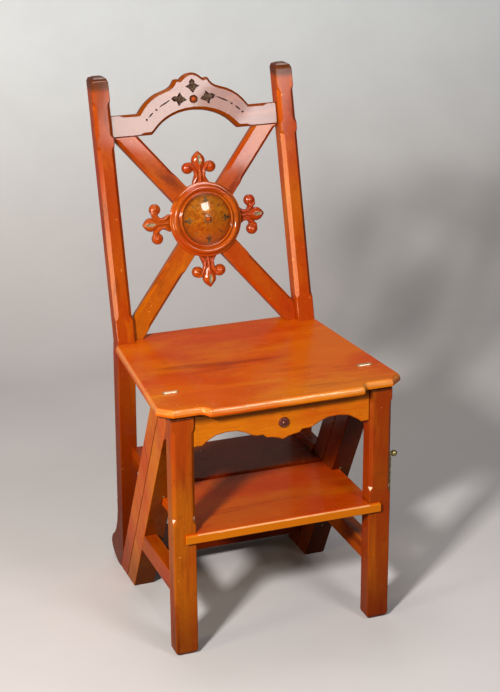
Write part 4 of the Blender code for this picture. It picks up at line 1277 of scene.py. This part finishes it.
        # The left strings' high light and the right strings' low light are painted light and shade: the left
        # ones face the lamps, the right ones stand in the frame's shade.
        legs, strings = ((0.80, 0.86), (0.30, 0.68)), ((0.95, 1.35), (0.4, 0.30))
        posts = ((0.10, 0.88), (0.45, 1.0))
        for number, side in enumerate(("left", "right")):
            pair = (("front_leg_", stand, upright, 1 + number, legs[number], 0.0012),
                    ("lower_string_", stand, string, 3 + number, strings[number], 0.0018),
                    ("side_brace_", stand, deep, 5, (0.5, 1.0), 0.0011),
                    ("gusset_", stand, deep, 6, (0.3, 1.0), 0.0011),
                    ("back_post_", folding, upright, 7 + number, posts[number], 0.0009),
                    ("upper_string_", folding, string, 9 + number, strings[number], 0.0018),
                    ("middle_batten_", folding, deep, 11, (0.2, 0.8), 0.0011),
                    ("top_batten_", folding, deep, 12, (0.2, 0.8), 0.0011))
            for stem, body, grain, plank, tone, width in pair:
                self.rounded(stem + side, body, self.wood(grain, plank, *tone), width=width)
        single = (("apron", stand, Grain.ACROSS, self.apron_plank, (0.97, 1.30, 0.3), 0.0007),
                  ("saltire_bar_rising", folding, Grain.RISING, 14, (0.60, 0.94, 0.64), 0.0006),
                  ("saltire_bar_falling", folding, Grain.FALLING, 15, (0.2, 0.94, 0.50), 0.0006),
                  ("crest_rail", folding, Grain.ACROSS, self.crest_plank, (0.6, 0.42, 1.0), 0.0006))
        for node, body, grain, plank, tone, width in single:
            self.rounded(node, body, self.wood(grain, plank, *tone), width=width, steps=2)
        # Light above 1 on the seat boards and lower tread is painted light on their tops; the middle and top
        # treads' low light is painted shade under the seat.
        boards = (("lower_tread", stand, 0.25, 1.15), ("middle_tread", folding, 0.0, 0.5),
                  ("top_tread", folding, 0.0, 0.45), ("front_seat_strip", stand, 0.95, 1.22),
                  ("main_seat", folding, 0.45, 1.30))
        for seed, (node, body, gold, light) in enumerate(boards):
            self.rounded(node, body, self.board(node, 20 + seed, gold, light), "polished_boards", 0.0006)


@dataclass
class Fleuron:
    """Carved trefoil that springs from the boss, in a frame with Y away from the boss and Z to the front."""

    node: str
    turn: float
    length: float
    spread: float
    ball: float = 0.0104
    thickness: float = 0.014
    ground: float = 0.60
    hollow: float = 0.735
    voxel: float = 0.00075

    def frame(self, plane: BackPlane, centre: float, ring: float) -> Matrix:
        """Frame of the trefoil, with its origin on the boss's edge."""
        base = plane.matrix(0.0, centre, plane.face - self.thickness, self.turn)
        return base @ Matrix.Translation((0.0, ring, 0.0))

    def beads(self) -> list[tuple[Point, Point]]:
        """Rounded swellings that build up the lobes and ribs.

        Returns:
            Middle and radii of each swelling.
        """
        long, wide = self.length, self.spread
        eye = (wide, 0.475 * long)
        lobe = ((0.0, 0.40 * long, 0.0068), (0.0, 0.70 * long, 0.0075), (0.0, 0.975 * long, 0.0060))
        beads = Workshop.trail(lobe, ((0.0062, 0.0052), (0.0124, 0.0066), (0.0020, 0.0022)), 26)
        beads += Workshop.trail(((0.0, -0.04 * long, 0.0078), (0.0, 0.55 * long, 0.0100)),
                                ((0.0030, 0.0045), (0.0019, 0.0036)), 22)
        for side in (-1.0, 1.0):
            beads.append(((side * eye[0], eye[1], 0.0070), (self.ball, self.ball, 0.0066)))
            beads.append(((side * (eye[0] + 0.0008), eye[1] + 0.0008, 0.0128), (0.0036, 0.0036, 0.0024)))
            path = ((side * 0.0122, -0.02 * long, 0.0068), (side * 0.0068, 0.16 * long, 0.0084),
                    (side * 0.0080, 0.34 * long, 0.0086), (side * eye[0] * 0.72, 0.60 * long, 0.0082),
                    (side * eye[0], 0.62 * long, 0.0074))
            sizes = ((0.0040, 0.0040), (0.0030, 0.0042), (0.0034, 0.0044), (0.0036, 0.0046), (0.0030, 0.0042))
            beads += Workshop.trail(path, sizes, 30)
        return beads

    def hollows(self) -> list[tuple[Point, Point]]:
        """Scoops of the gouge: the middle lobe's hollow and the eyes beside the scrolls.

        Returns:
            Middle and radii of each scoop.
        """
        long, wide = self.length, self.spread
        scoops = [((0.0, self.hollow * long, 0.0176), (0.0046, 0.0116, 0.0068))]
        for side in (-1.0, 1.0):
            scoops.append(((side * (wide - 0.0075), 0.40 * long, 0.0140), (0.0017, 0.0042, 0.0052)))
        return scoops

    def build(self, plane: BackPlane, centre: float, ring: float) -> Piece:
        """Build up the lobes on the sawn outline, melt them together and scoop the hollows.

        Args:
            plane: plane of the back.
            centre: height of the boss up the back.
            ring: radius of the boss.

        Returns:
            The carved piece in its place.
        """
        frame_at = self.frame(plane, centre, ring)
        blank = Workshop.from_node(self.node, "blank")
        Workshop.place(blank, frame_at.inverted())
        Workshop.place(blank, Matrix.Diagonal((1.0, 1.0, self.ground, 1.0)))
        lobes = Workshop.beaded("lobes", self.beads())
        piece = Workshop.joined([blank, lobes], "carved_" + self.node)
        Workshop.modify(piece, "REMESH", mode="VOXEL", voxel_size=self.voxel, use_smooth_shade=True)
        Workshop.scooped(piece, Workshop.beaded("gouge", self.hollows(), 3))
        Workshop.modify(piece, "SMOOTH", factor=0.5, iterations=3)
        Workshop.smooth(piece, 60.0)
        Workshop.place(piece, frame_at)
        return piece


@dataclass
class CarvedBack:
    """Turned boss, fleurons and the crest's inlay on the raked back."""

    plane: BackPlane
    centre: float = 0.2055
    ring_radius: float = 0.068
    dome_radius: float = 0.0455
    proud: float = 0.0003
    button_height: float = 0.4225

    def build(self, joinery: Joinery) -> None:
        """Make the boss and its ornament.

        Args:
            joinery: gives the finish of a plank.
        """
        bench_frame = self.plane.matrix(0.0, self.centre, self.plane.face + self.proud)
        amber = AmberVarnish(bench_frame).make()
        red = joinery.wood(Grain.ACROSS, 17, 0.6, coat=1.0)
        gold = joinery.wood(Grain.ACROSS, 19, 0.9, 0.9)
        parts = (("boss_moulding", self.ring_profile(), 96, red, "mahogany", "boss_ring"),
                 ("boss_crown", self.dome_profile(), 96, amber, "amber_wood", "boss_dome"),
                 ("boss_pip", self.knob_profile(), 40, gold, "dark_turnings", "boss_knob"))
        for name, profile, segments, material, slot, node in parts:
            piece = Workshop.lathe(name, profile, segments)
            Workshop.place(piece, bench_frame)
            fit(piece, Body.FRAME, material, slot, node)
        self.fleurons()
        self.inlay(joinery)

    def fleurons(self) -> None:
        """Carve the four trefoils."""
        upright, level = (0.0556, 0.0216), (0.0482, 0.0262)
        sides = (("top", 0.0, upright), ("left", QUARTER, level),
                 ("bottom", QUARTER * 2, upright), ("right", -QUARTER, level))
        for number, (side, turn, size) in enumerate(sides):
            trefoil = Fleuron("fleuron_" + side, turn, *size)
            spot = (self.plane, self.centre, self.ring_radius)
            piece = trefoil.build(*spot)
            finish = HollowReflectionMahogany(
                "mahogany_" + trefoil.node, Grain.ACROSS, seed=40.0 + number, body=(0.38, 0.048, 0.001),
                coat=0.8, satin=0.17, frame=trefoil.frame(*spot), middle=trefoil.length * trefoil.hollow)
            fit(piece, Body.FRAME, finish.make(), "mahogany", trefoil.node)

    def inlay(self, joinery: Joinery) -> None:
        """Lay the crest's leaves, strokes and button.

        Args:
            joinery: gives the finish of a plank.
        """
        black = Ebonised("black_stain").make()
        rim = Mahogany("button_rim", Grain.ACROSS, (0.030, 0.006, 0.002), (0.075, 0.012, 0.004),
                       (0.12, 0.020, 0.006), ribbon=60.0, roughness=0.3, coat=0.2, seed=35.0).make()
        olive = Ebonised("olive_stain", (0.036, 0.020, 0.012), (0.150, 0.088, 0.055)).make()
        turn = math.radians(81.0)
        base = self.button_height - 0.0005
        leaves = (("top", 0.0, self.button_height + 0.0112, 0.0, 1.08, 1.0),
                  ("left", -0.013, base, turn, 1.0, 1.15), ("right", 0.013, base, -turn, 1.0, 1.15))
        for side, u, v, angle, wide, long in leaves:
            place = self.plane.matrix(u, v, self.plane.face + self.proud, angle)
            leaf = Workshop.from_node("crest_leaf_" + side, "leaf_" + side)
            Workshop.place(leaf, place.inverted())
            ground = Workshop.copied(leaf, "leaf_ground_" + side)
            inner = Matrix.Diagonal((0.74 * wide, 0.80 * long, 1.0, 1.0))
            Workshop.place(leaf, place @ Matrix.Translation((0.0, 0.0015, 0.0)) @ inner)
            Workshop.place(ground, place @ Matrix.Diagonal((1.06 * wide, 1.01 * long, 0.6, 1.0)))
            fit(leaf, Body.FRAME, olive, "ebonised_inlay", "crest_leaf_" + side)
            fit(ground, Body.FRAME, black, "ebonised_inlay")
        strokes = ((0.0440, 0.4240, 0.0650, 0.4137), (0.0705, 0.4095, 0.0725, 0.4085),
                   (0.0785, 0.4043, 0.0867, 0.3966), (0.0902, 0.3930, 0.0918, 0.3920))
        for side, sign in (("left", -1.0), ("right", 1.0)):
            for number, (u1, v1, u2, v2) in enumerate(strokes):
                self.stroke("crest_stroke_%s_%d" % (side, number), (sign * u1, v1), (sign * u2, v2), black)
        collar = Workshop.lathe(
            "crest_collar", [(0.0074, 0.0), (0.0076, 0.0008), (0.0071, 0.0016), (0.0056, 0.0014)], 40)
        button = Workshop.lathe("crest_rosette", self.button_profile(), 40)
        seat = self.plane.matrix(0.0, self.button_height, self.plane.face + self.proud)
        Workshop.place(collar, seat)
        Workshop.place(button, seat)
        fit(collar, Body.FRAME, rim, "dark_turnings")
        fit(button, Body.FRAME, joinery.wood(Grain.ACROSS, 18, 0.1), "dark_turnings", "crest_button")

    def stroke(self, name: str, start: Flat, end: Flat, material: Finish) -> None:
        """Lay one pointed stroke of dark inlay.

        Args:
            name: the piece's name.
            start: its first end on the back.
            end: its other end.
            material: the stain.
        """
        reach = Vector(end) - Vector(start)
        half = reach.length / 2 + 0.0010
        width = 0.0013 if half > 0.003 else 0.0020
        outline = [(half * a, width * b) for a, b in (
            (-1.0, 0.0), (-0.7, -0.75), (-0.2, -1.0), (0.3, -0.95), (0.75, -0.6), (1.0, 0.0),
            (0.7, 0.75), (0.2, 1.0), (-0.3, 0.95), (-0.75, 0.6))]
        piece = Workshop.plate(name, outline, 0.0004)
        middle = (Vector(start) + Vector(end)) / 2
        turn = math.atan2(reach.y, reach.x)
        Workshop.place(piece, self.plane.matrix(middle.x, middle.y, self.plane.face - 0.0001, turn))
        fit(piece, Body.FRAME, material, "ebonised_inlay")

    def ring_profile(self) -> list[Flat]:
        """Torus, groove and bead of the ring, and the well that holds the dome.

        Returns:
            Radius and height of each ring.
        """
        rim = self.ring_radius
        points = [(rim, 0.0), (rim, 0.0030), (rim - 0.0004, 0.0038), (rim - 0.0013, 0.0042),
                  (rim - 0.0042, 0.0042)]
        points += self.arc((0.0575, 0.0058), (0.0056, 0.0059), -8.0, 150.0, 10)
        points += [(0.0523, 0.0090), (0.0514, 0.0083), (0.0508, 0.0086)]
        points += self.arc((0.0484, 0.0104), (0.0019, 0.0021), -10.0, 185.0, 8)
        return points + [(0.0463, 0.0085), (0.04624, 0.0062)]

    @staticmethod
    def arc(centre: Flat, radii: Flat, first: float, sweep: float, steps: int) -> list[Flat]:
        """Points of a rounded moulding.

        Args:
            centre: radius and height of its middle.
            radii: its half width and half height.
            first: angle of the first point in degrees.
            sweep: degrees to the last point.
            steps: points after the first.

        Returns:
            Radius and height of each point.
        """
        angles = [math.radians(first + sweep * step / steps) for step in range(steps + 1)]
        return [(centre[0] + radii[0] * math.cos(angle), centre[1] + radii[1] * math.sin(angle))
                for angle in angles]

    def dome_profile(self) -> list[Flat]:
        """Low dome that rises from the ring's well.

        Returns:
            Radius and height of each ring.
        """
        base, rise, peak = 0.0089, 0.0090, 0.36
        points = [(self.dome_radius, 0.0064), (self.dome_radius, base)]
        for step in range(1, 24):
            share = 1.0 - step / 24
            bulge = 1.0 - peak * share - (1.0 - peak) * share ** 2
            points.append((self.dome_radius * share, base + rise * bulge))
        return points

    def knob_profile(self) -> list[Flat]:
        """Small collar and pip at the top of the dome.

        Returns:
            Radius and height of each ring.
        """
        base = 0.0178
        rings = ((0.0053, 0.0), (0.0055, 0.0008), (0.0048, 0.0015), (0.0036, 0.0012), (0.0036, 0.0020),
                 (0.0034, 0.0032), (0.0026, 0.0041), (0.0012, 0.0046))
        return [(radius, base + height) for radius, height in rings]

    def button_profile(self) -> list[Flat]:
        """Small turned button that stands in its collar."""
        return [(0.0042, 0.0), (0.0042, 0.0012), (0.0040, 0.0022), (0.0035, 0.0032), (0.0027, 0.0038),
                (0.0016, 0.0042), (0.0006, 0.0043)]


@dataclass
class Studio:
    """Pale floor and backdrop, plain soft lamps and the camera."""

    camera_place: Point = (-0.97832, -2.45444 - FRONT_TO_ORIGIN, 1.51897)
    yaw: float = 0.35788480
    pitch: float = 0.35436001
    roll: float = -0.00647570
    focal_pixels: float = 1719.419
    photo_height: float = 692.0
    sensor: float = 36.0

    def build(self) -> None:
        """Set the camera, the lamps, the air and the pale sweep behind the chair."""
        self.aim_camera()
        self.sweep()
        self.lamp("key_panel", (-1.85, -1.95, 1.90), (0.30, 0.30), 108.0, (1.0, 0.97, 0.93))
        self.lamp("crest_panel", (0.95, -2.55, 1.68), (0.64, 0.40), 10.4, (1.0, 0.99, 0.98), -20.0)
        self.lamp("dome_panel", (0.88, -2.40, 2.48), (0.75, 0.48), 18.0, (1.0, 0.99, 0.98))
        self.lamp("left_card", (-2.4, -0.75, 0.62), (0.5, 1.0), 24.0, (1.0, 0.78, 0.50))
        self.lamp("top_panel", (-0.20, 0.35, 2.90), (0.8, 0.8), 14.0, (1.0, 0.97, 0.94))
        self.lamp("back_panel", (0.60, 1.60, 2.30), (0.8, 0.8), 6.0, (1.0, 0.97, 0.94))
        self.air((0.84, 0.87, 0.92), 0.04, (0.55, 0.53, 0.53))
        bpy.context.scene.view_settings.view_transform = "Standard"

    def aim_camera(self) -> None:
        """Camera at the place and angle of the photograph."""
        level = math.cos(self.pitch)
        forward = Vector((math.sin(self.yaw) * level, math.cos(self.yaw) * level, -math.sin(self.pitch)))
        right = Vector((math.cos(self.yaw), -math.sin(self.yaw), 0.0))
        up = right.cross(forward)
        axis_x = right * math.cos(self.roll) + up * math.sin(self.roll)
        axis_y = up * math.cos(self.roll) - right * math.sin(self.roll)
        data = bpy.data.cameras.new("photo_view")
        data.lens = self.focal_pixels * self.sensor / self.photo_height
        data.sensor_width = self.sensor
        data.sensor_fit = "AUTO"
        data.clip_start = 0.05
        camera = bpy.data.objects.new("photo_view", data)
        bpy.context.scene.collection.objects.link(camera)
        axes = Matrix((axis_x, axis_y, -forward)).transposed().to_4x4()
        camera.matrix_world = Matrix.Translation(self.camera_place) @ axes
        bpy.context.scene.camera = camera

    def sweep(self) -> None:
        """Floor that curves up into a pale wall behind the chair."""
        Workshop.rest()
        bpy.ops.mesh.primitive_plane_add(size=1.0, location=(0.0, 0.0, 0.0))
        floor = bpy.context.object
        floor.name = "studio_sweep"
        low, high, far = -5.0, 3.4, 1.9
        corners = ((-6.0, low, 0.0), (6.0, low, 0.0), (-6.0, far, 0.0), (6.0, far, 0.0))
        for vertex, corner in zip(floor.data.vertices, corners):
            vertex.co = corner
        far_edge = Workshop.both_ends(floor, lambda place: place.y > far - 0.01)
        with Workshop.chosen(floor, "EDGE", far_edge):
            Workshop.drawn_up(high)
        corner = Workshop.both_ends(floor, lambda place: abs(place.y - far) < 0.01 and place.z < 0.01)
        with Workshop.chosen(floor, "EDGE", corner):
            bpy.ops.mesh.bevel(offset=0.8, segments=16, profile=0.5)
        Workshop.outward(floor)
        if floor.data.polygons[0].normal.dot(Vector((0.0, -1.0, 1.0))) < 0.0:
            with Workshop.editing(floor):
                bpy.ops.mesh.flip_normals()
        Workshop.smooth(floor, 60.0)
        floor.data.materials.append(Paper().make())

    @staticmethod
    def air(light: Colour, strength: float, pale: Colour, mirrored: float = 0.04) -> None:
        """Even light of the room, and the pale colour that shows where the paper ends.

        Args:
            light: colour of the even light.
            strength: its strength.
            pale: colour that the camera sees.
            mirrored: share of that colour that a polish mirrors.
        """
        bench = AirBench("studio_air")
        seen = bench.seen(mirrored)
        bench.set(color=bench.blended(seen, light, pale), strength=seen * (1.0 - strength) + strength)
        bpy.context.scene.world = bench.world

    @staticmethod
    def lamp(name: str, place: Point, size: Flat, power: float, colour: Colour, turn: float = 0.0) -> None:
        """Soft rectangular lamp that faces the middle of the chair.

        Args:
            name: the lamp's name.
            place: where it stands.
            size: its width and height.
            power: its power.
            colour: colour of its light.
            turn: degrees that it is turned about its own axis.
        """
        data = bpy.data.lights.new(name, "AREA")
        data.shape = "RECTANGLE"
        data.size, data.size_y = size
        data.energy = power
        data.color = colour
        lamp = bpy.data.objects.new(name, data)
        bpy.context.scene.collection.objects.link(lamp)
        lamp.location = place
        aim = Vector((0.0, 0.0, 0.5)) - Vector(place)
        turned = aim.to_track_quat("-Z", "Y").to_matrix() @ Matrix.Rotation(math.radians(turn), 3, "Z")
        lamp.rotation_euler = turned.to_euler()


@dataclass
class Brassware:
    """Hinges in the seat, the side catch and the screws."""

    hinge_centre: float = 0.176
    hinge_half: float = 0.0130
    catch_pivot: Flat = (-0.2096, 0.3095)
    catch_face: float = 0.1998
    knob_face: float = 0.19995
    stud_place: Point = (0.1903, -0.0984, 0.3692)
    button_place: Point = (0.0, -0.2219, 0.405)
    string_middle: float = 0.1675
    string_screws: tuple[Flat, Flat] = ((-0.0781, 0.2327), (0.0037, 0.0800))
    bright: Finish = field(default_factory=lambda: Brass(
        "hinge_brass_finish", (1.0, 0.70, 0.46), (0.30, 0.16, 0.05), 0.12, 0.34, 0.176).make())
    aged: Finish = field(default_factory=lambda: Brass("aged_brass_finish", (0.62, 0.50, 0.20)).make())

    def build(self, dark: Finish) -> None:
        """Make the hinges, the catch, the screws and the apron's button.

        Args:
            dark: the dark turned wood.
        """
        self.hinges()
        self.catch()
        self.screws()
        self.rosette(dark)

    def hinges(self) -> None:
        """Round the leaves of both hinges and turn their pins."""
        profile = [(0.0013, 0.0), (0.0016, 0.0003), (0.0016, 0.0257), (0.0013, 0.0260)]
        for side, sign in (("left", -1.0), ("right", 1.0)):
            for leaf, body in (("hinge_leaf_fixed_", Body.STAND), ("hinge_leaf_moving_", Body.FRAME)):
                self.eased(leaf + side, body, self.bright, "hinge_brass", 0.00025)
            pin = Workshop.lathe("hinge_rivet_" + side, profile, 24)
            Workshop.place(pin, self.sideways(sign * self.hinge_centre - self.hinge_half, *HINGE_LINE))
            fit(pin, Body.STAND, self.bright, "hinge_brass", "hinge_pin_" + side)

    def catch(self) -> None:
        """Round the catch's plate and arm, and turn its knob and the stud that it holds."""
        self.eased("catch_plate", Body.STAND, self.aged, "aged_brass", 0.0003)
        self.eased("catch_arm", Body.HOOK, self.aged, "aged_brass", 0.0005)
        knob = Workshop.lathe("catch_ball", self.ball_profile(), 48)
        Workshop.place(knob, self.sideways(self.knob_face, *self.catch_pivot))
        fit(knob, Body.STAND, self.aged, "aged_brass", "catch_knob")
        stud = Workshop.lathe("catch_pin", [
            (0.0024, 0.0), (0.0024, 0.0128), (0.0040, 0.0129), (0.0042, 0.0134), (0.0041, 0.0140),
            (0.0034, 0.0146), (0.0018, 0.0148)], 32)
        Workshop.place(stud, self.sideways(*self.stud_place))
        fit(stud, Body.FRAME, self.aged, "aged_brass", "catch_stud")

    def rosette(self, dark: Finish) -> None:
        """Turn the apron's button and gouge its petals.

        Args:
            dark: the dark turned wood.
        """
        rosette = Workshop.lathe("apron_rosette", [
            (0.0090, 0.0), (0.0095, 0.0010), (0.0091, 0.0026), (0.0078, 0.0037), (0.0060, 0.0040),
            (0.0042, 0.0034), (0.0036, 0.0036), (0.0032, 0.0048), (0.0022, 0.0058), (0.0008, 0.0061)], 48)
        petals = self.ringed(12.0, 0.0066, 0.0050, (0.0020, 0.0020, 0.0019))
        notches = self.ringed(42.0, 0.0100, 0.0026, (0.0017, 0.0017, 0.0032))
        Workshop.scooped(rosette, Workshop.beaded("gouge", petals + notches, 3))
        Workshop.smooth(rosette, 40.0)
        Workshop.place(rosette, Matrix.Translation(self.button_place) @ Matrix.Rotation(QUARTER, 4, "X"))
        fit(rosette, Body.STAND, dark, "dark_turnings", "apron_boss")

    @staticmethod
    def ringed(first: float, radius: float, height: float, radii: Point) -> list[tuple[Point, Point]]:
        """Six swellings on a ring, the first at an angle in degrees."""
        angles = [math.radians(60.0 * step + first) for step in range(6)]
        return [((radius * math.cos(angle), radius * math.sin(angle), height), radii) for angle in angles]

    @staticmethod
    def sideways(x: float, y: float, z: float) -> Matrix:
        """Frame whose Z axis points to the chair's right."""
        return Matrix.Translation((x, y, z)) @ Matrix.Rotation(QUARTER, 4, "Y")

    @staticmethod
    def ball_profile() -> list[Flat]:
        """Neck, collar and ball of the catch's knob.

        Returns:
            Radius and height of each ring.
        """
        points = [(0.0022, 0.0), (0.0022, 0.0033), (0.0034, 0.0034), (0.0036, 0.0041), (0.0027, 0.0048)]
        for step in range(12):
            angle = math.radians(28.0 + 146.0 * step / 11)
            points.append((0.0058 * math.sin(angle), 0.0105 - 0.0058 * math.cos(angle)))
        return points

    @staticmethod
    def eased(node: str, body: Body, material: Finish, slot: str, width: float) -> None:
        """Copy a packed brass node and round its edges.

        Args:
            node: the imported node.
            body: the group that it moves with.
            material: its finish.
            slot: the record's material slot.
            width: width of the rounding.
        """
        piece = Workshop.from_node(node, "filed_" + node)
        Workshop.eased(piece, width, 2)
        fit(piece, body, material, slot, node)

    def screws(self) -> None:
        """Model one slotted screw head and copy it to its places."""
        first = Workshop.lathe("screw_head", [
            (0.0024, 0.0), (0.0026, 0.0002), (0.0022, 0.0007), (0.0012, 0.0010), (0.0004, 0.0011)], 24)
        Workshop.rest()
        bpy.ops.mesh.primitive_cube_add(size=1.0, location=(0.0, 0.0, 0.0011))
        blade = bpy.context.object
        Workshop.place(blade, Matrix.Diagonal((0.0070, 0.0006, 0.0010, 1.0)))
        Workshop.place(blade, Matrix.Translation((0.0, 0.0, 0.0006)))
        Workshop.scooped(first, blade)
        outward = -Vector((0.0, *SEAM_NORMAL))
        lean = outward.to_track_quat("Z", "Y").to_matrix().to_4x4()
        depth, height = self.catch_pivot
        places = [("catch", self.sideways(self.catch_face, depth - 0.0030, height + 0.0072))]
        for side, sign in (("left", -1.0), ("right", 1.0)):
            for depth, height in self.string_screws:
                spot = Matrix.Translation((sign * self.string_middle, depth, height)) @ lean
                places.append(("%s_%d" % (side, round(height * 1000)), spot))
        for name, place in places:
            screw = Workshop.copied(first, "screw_" + name)
            Workshop.place(screw, place)
            fit(screw, Body.STAND, self.aged, "aged_brass")
        bpy.data.objects.remove(first, do_unlink=True)


def main() -> None:
    """Build the studio, then every group of pieces in order."""
    logging.basicConfig(level=logging.INFO, format="%(message)s")
    Studio().build()
    joinery = Joinery()
    joinery.build()
    CarvedBack(BackPlane()).build(joinery)
    dark = Mahogany("apron_dark", Grain.ACROSS, (0.05, 0.010, 0.008), (0.11, 0.022, 0.016),
                    (0.24, 0.060, 0.040), ribbon=60.0, roughness=0.2, coat=1.0, seed=33.0)
    Brassware().build(dark.make())
    Workshop.rest()


if __name__ == "__main__":
    main()
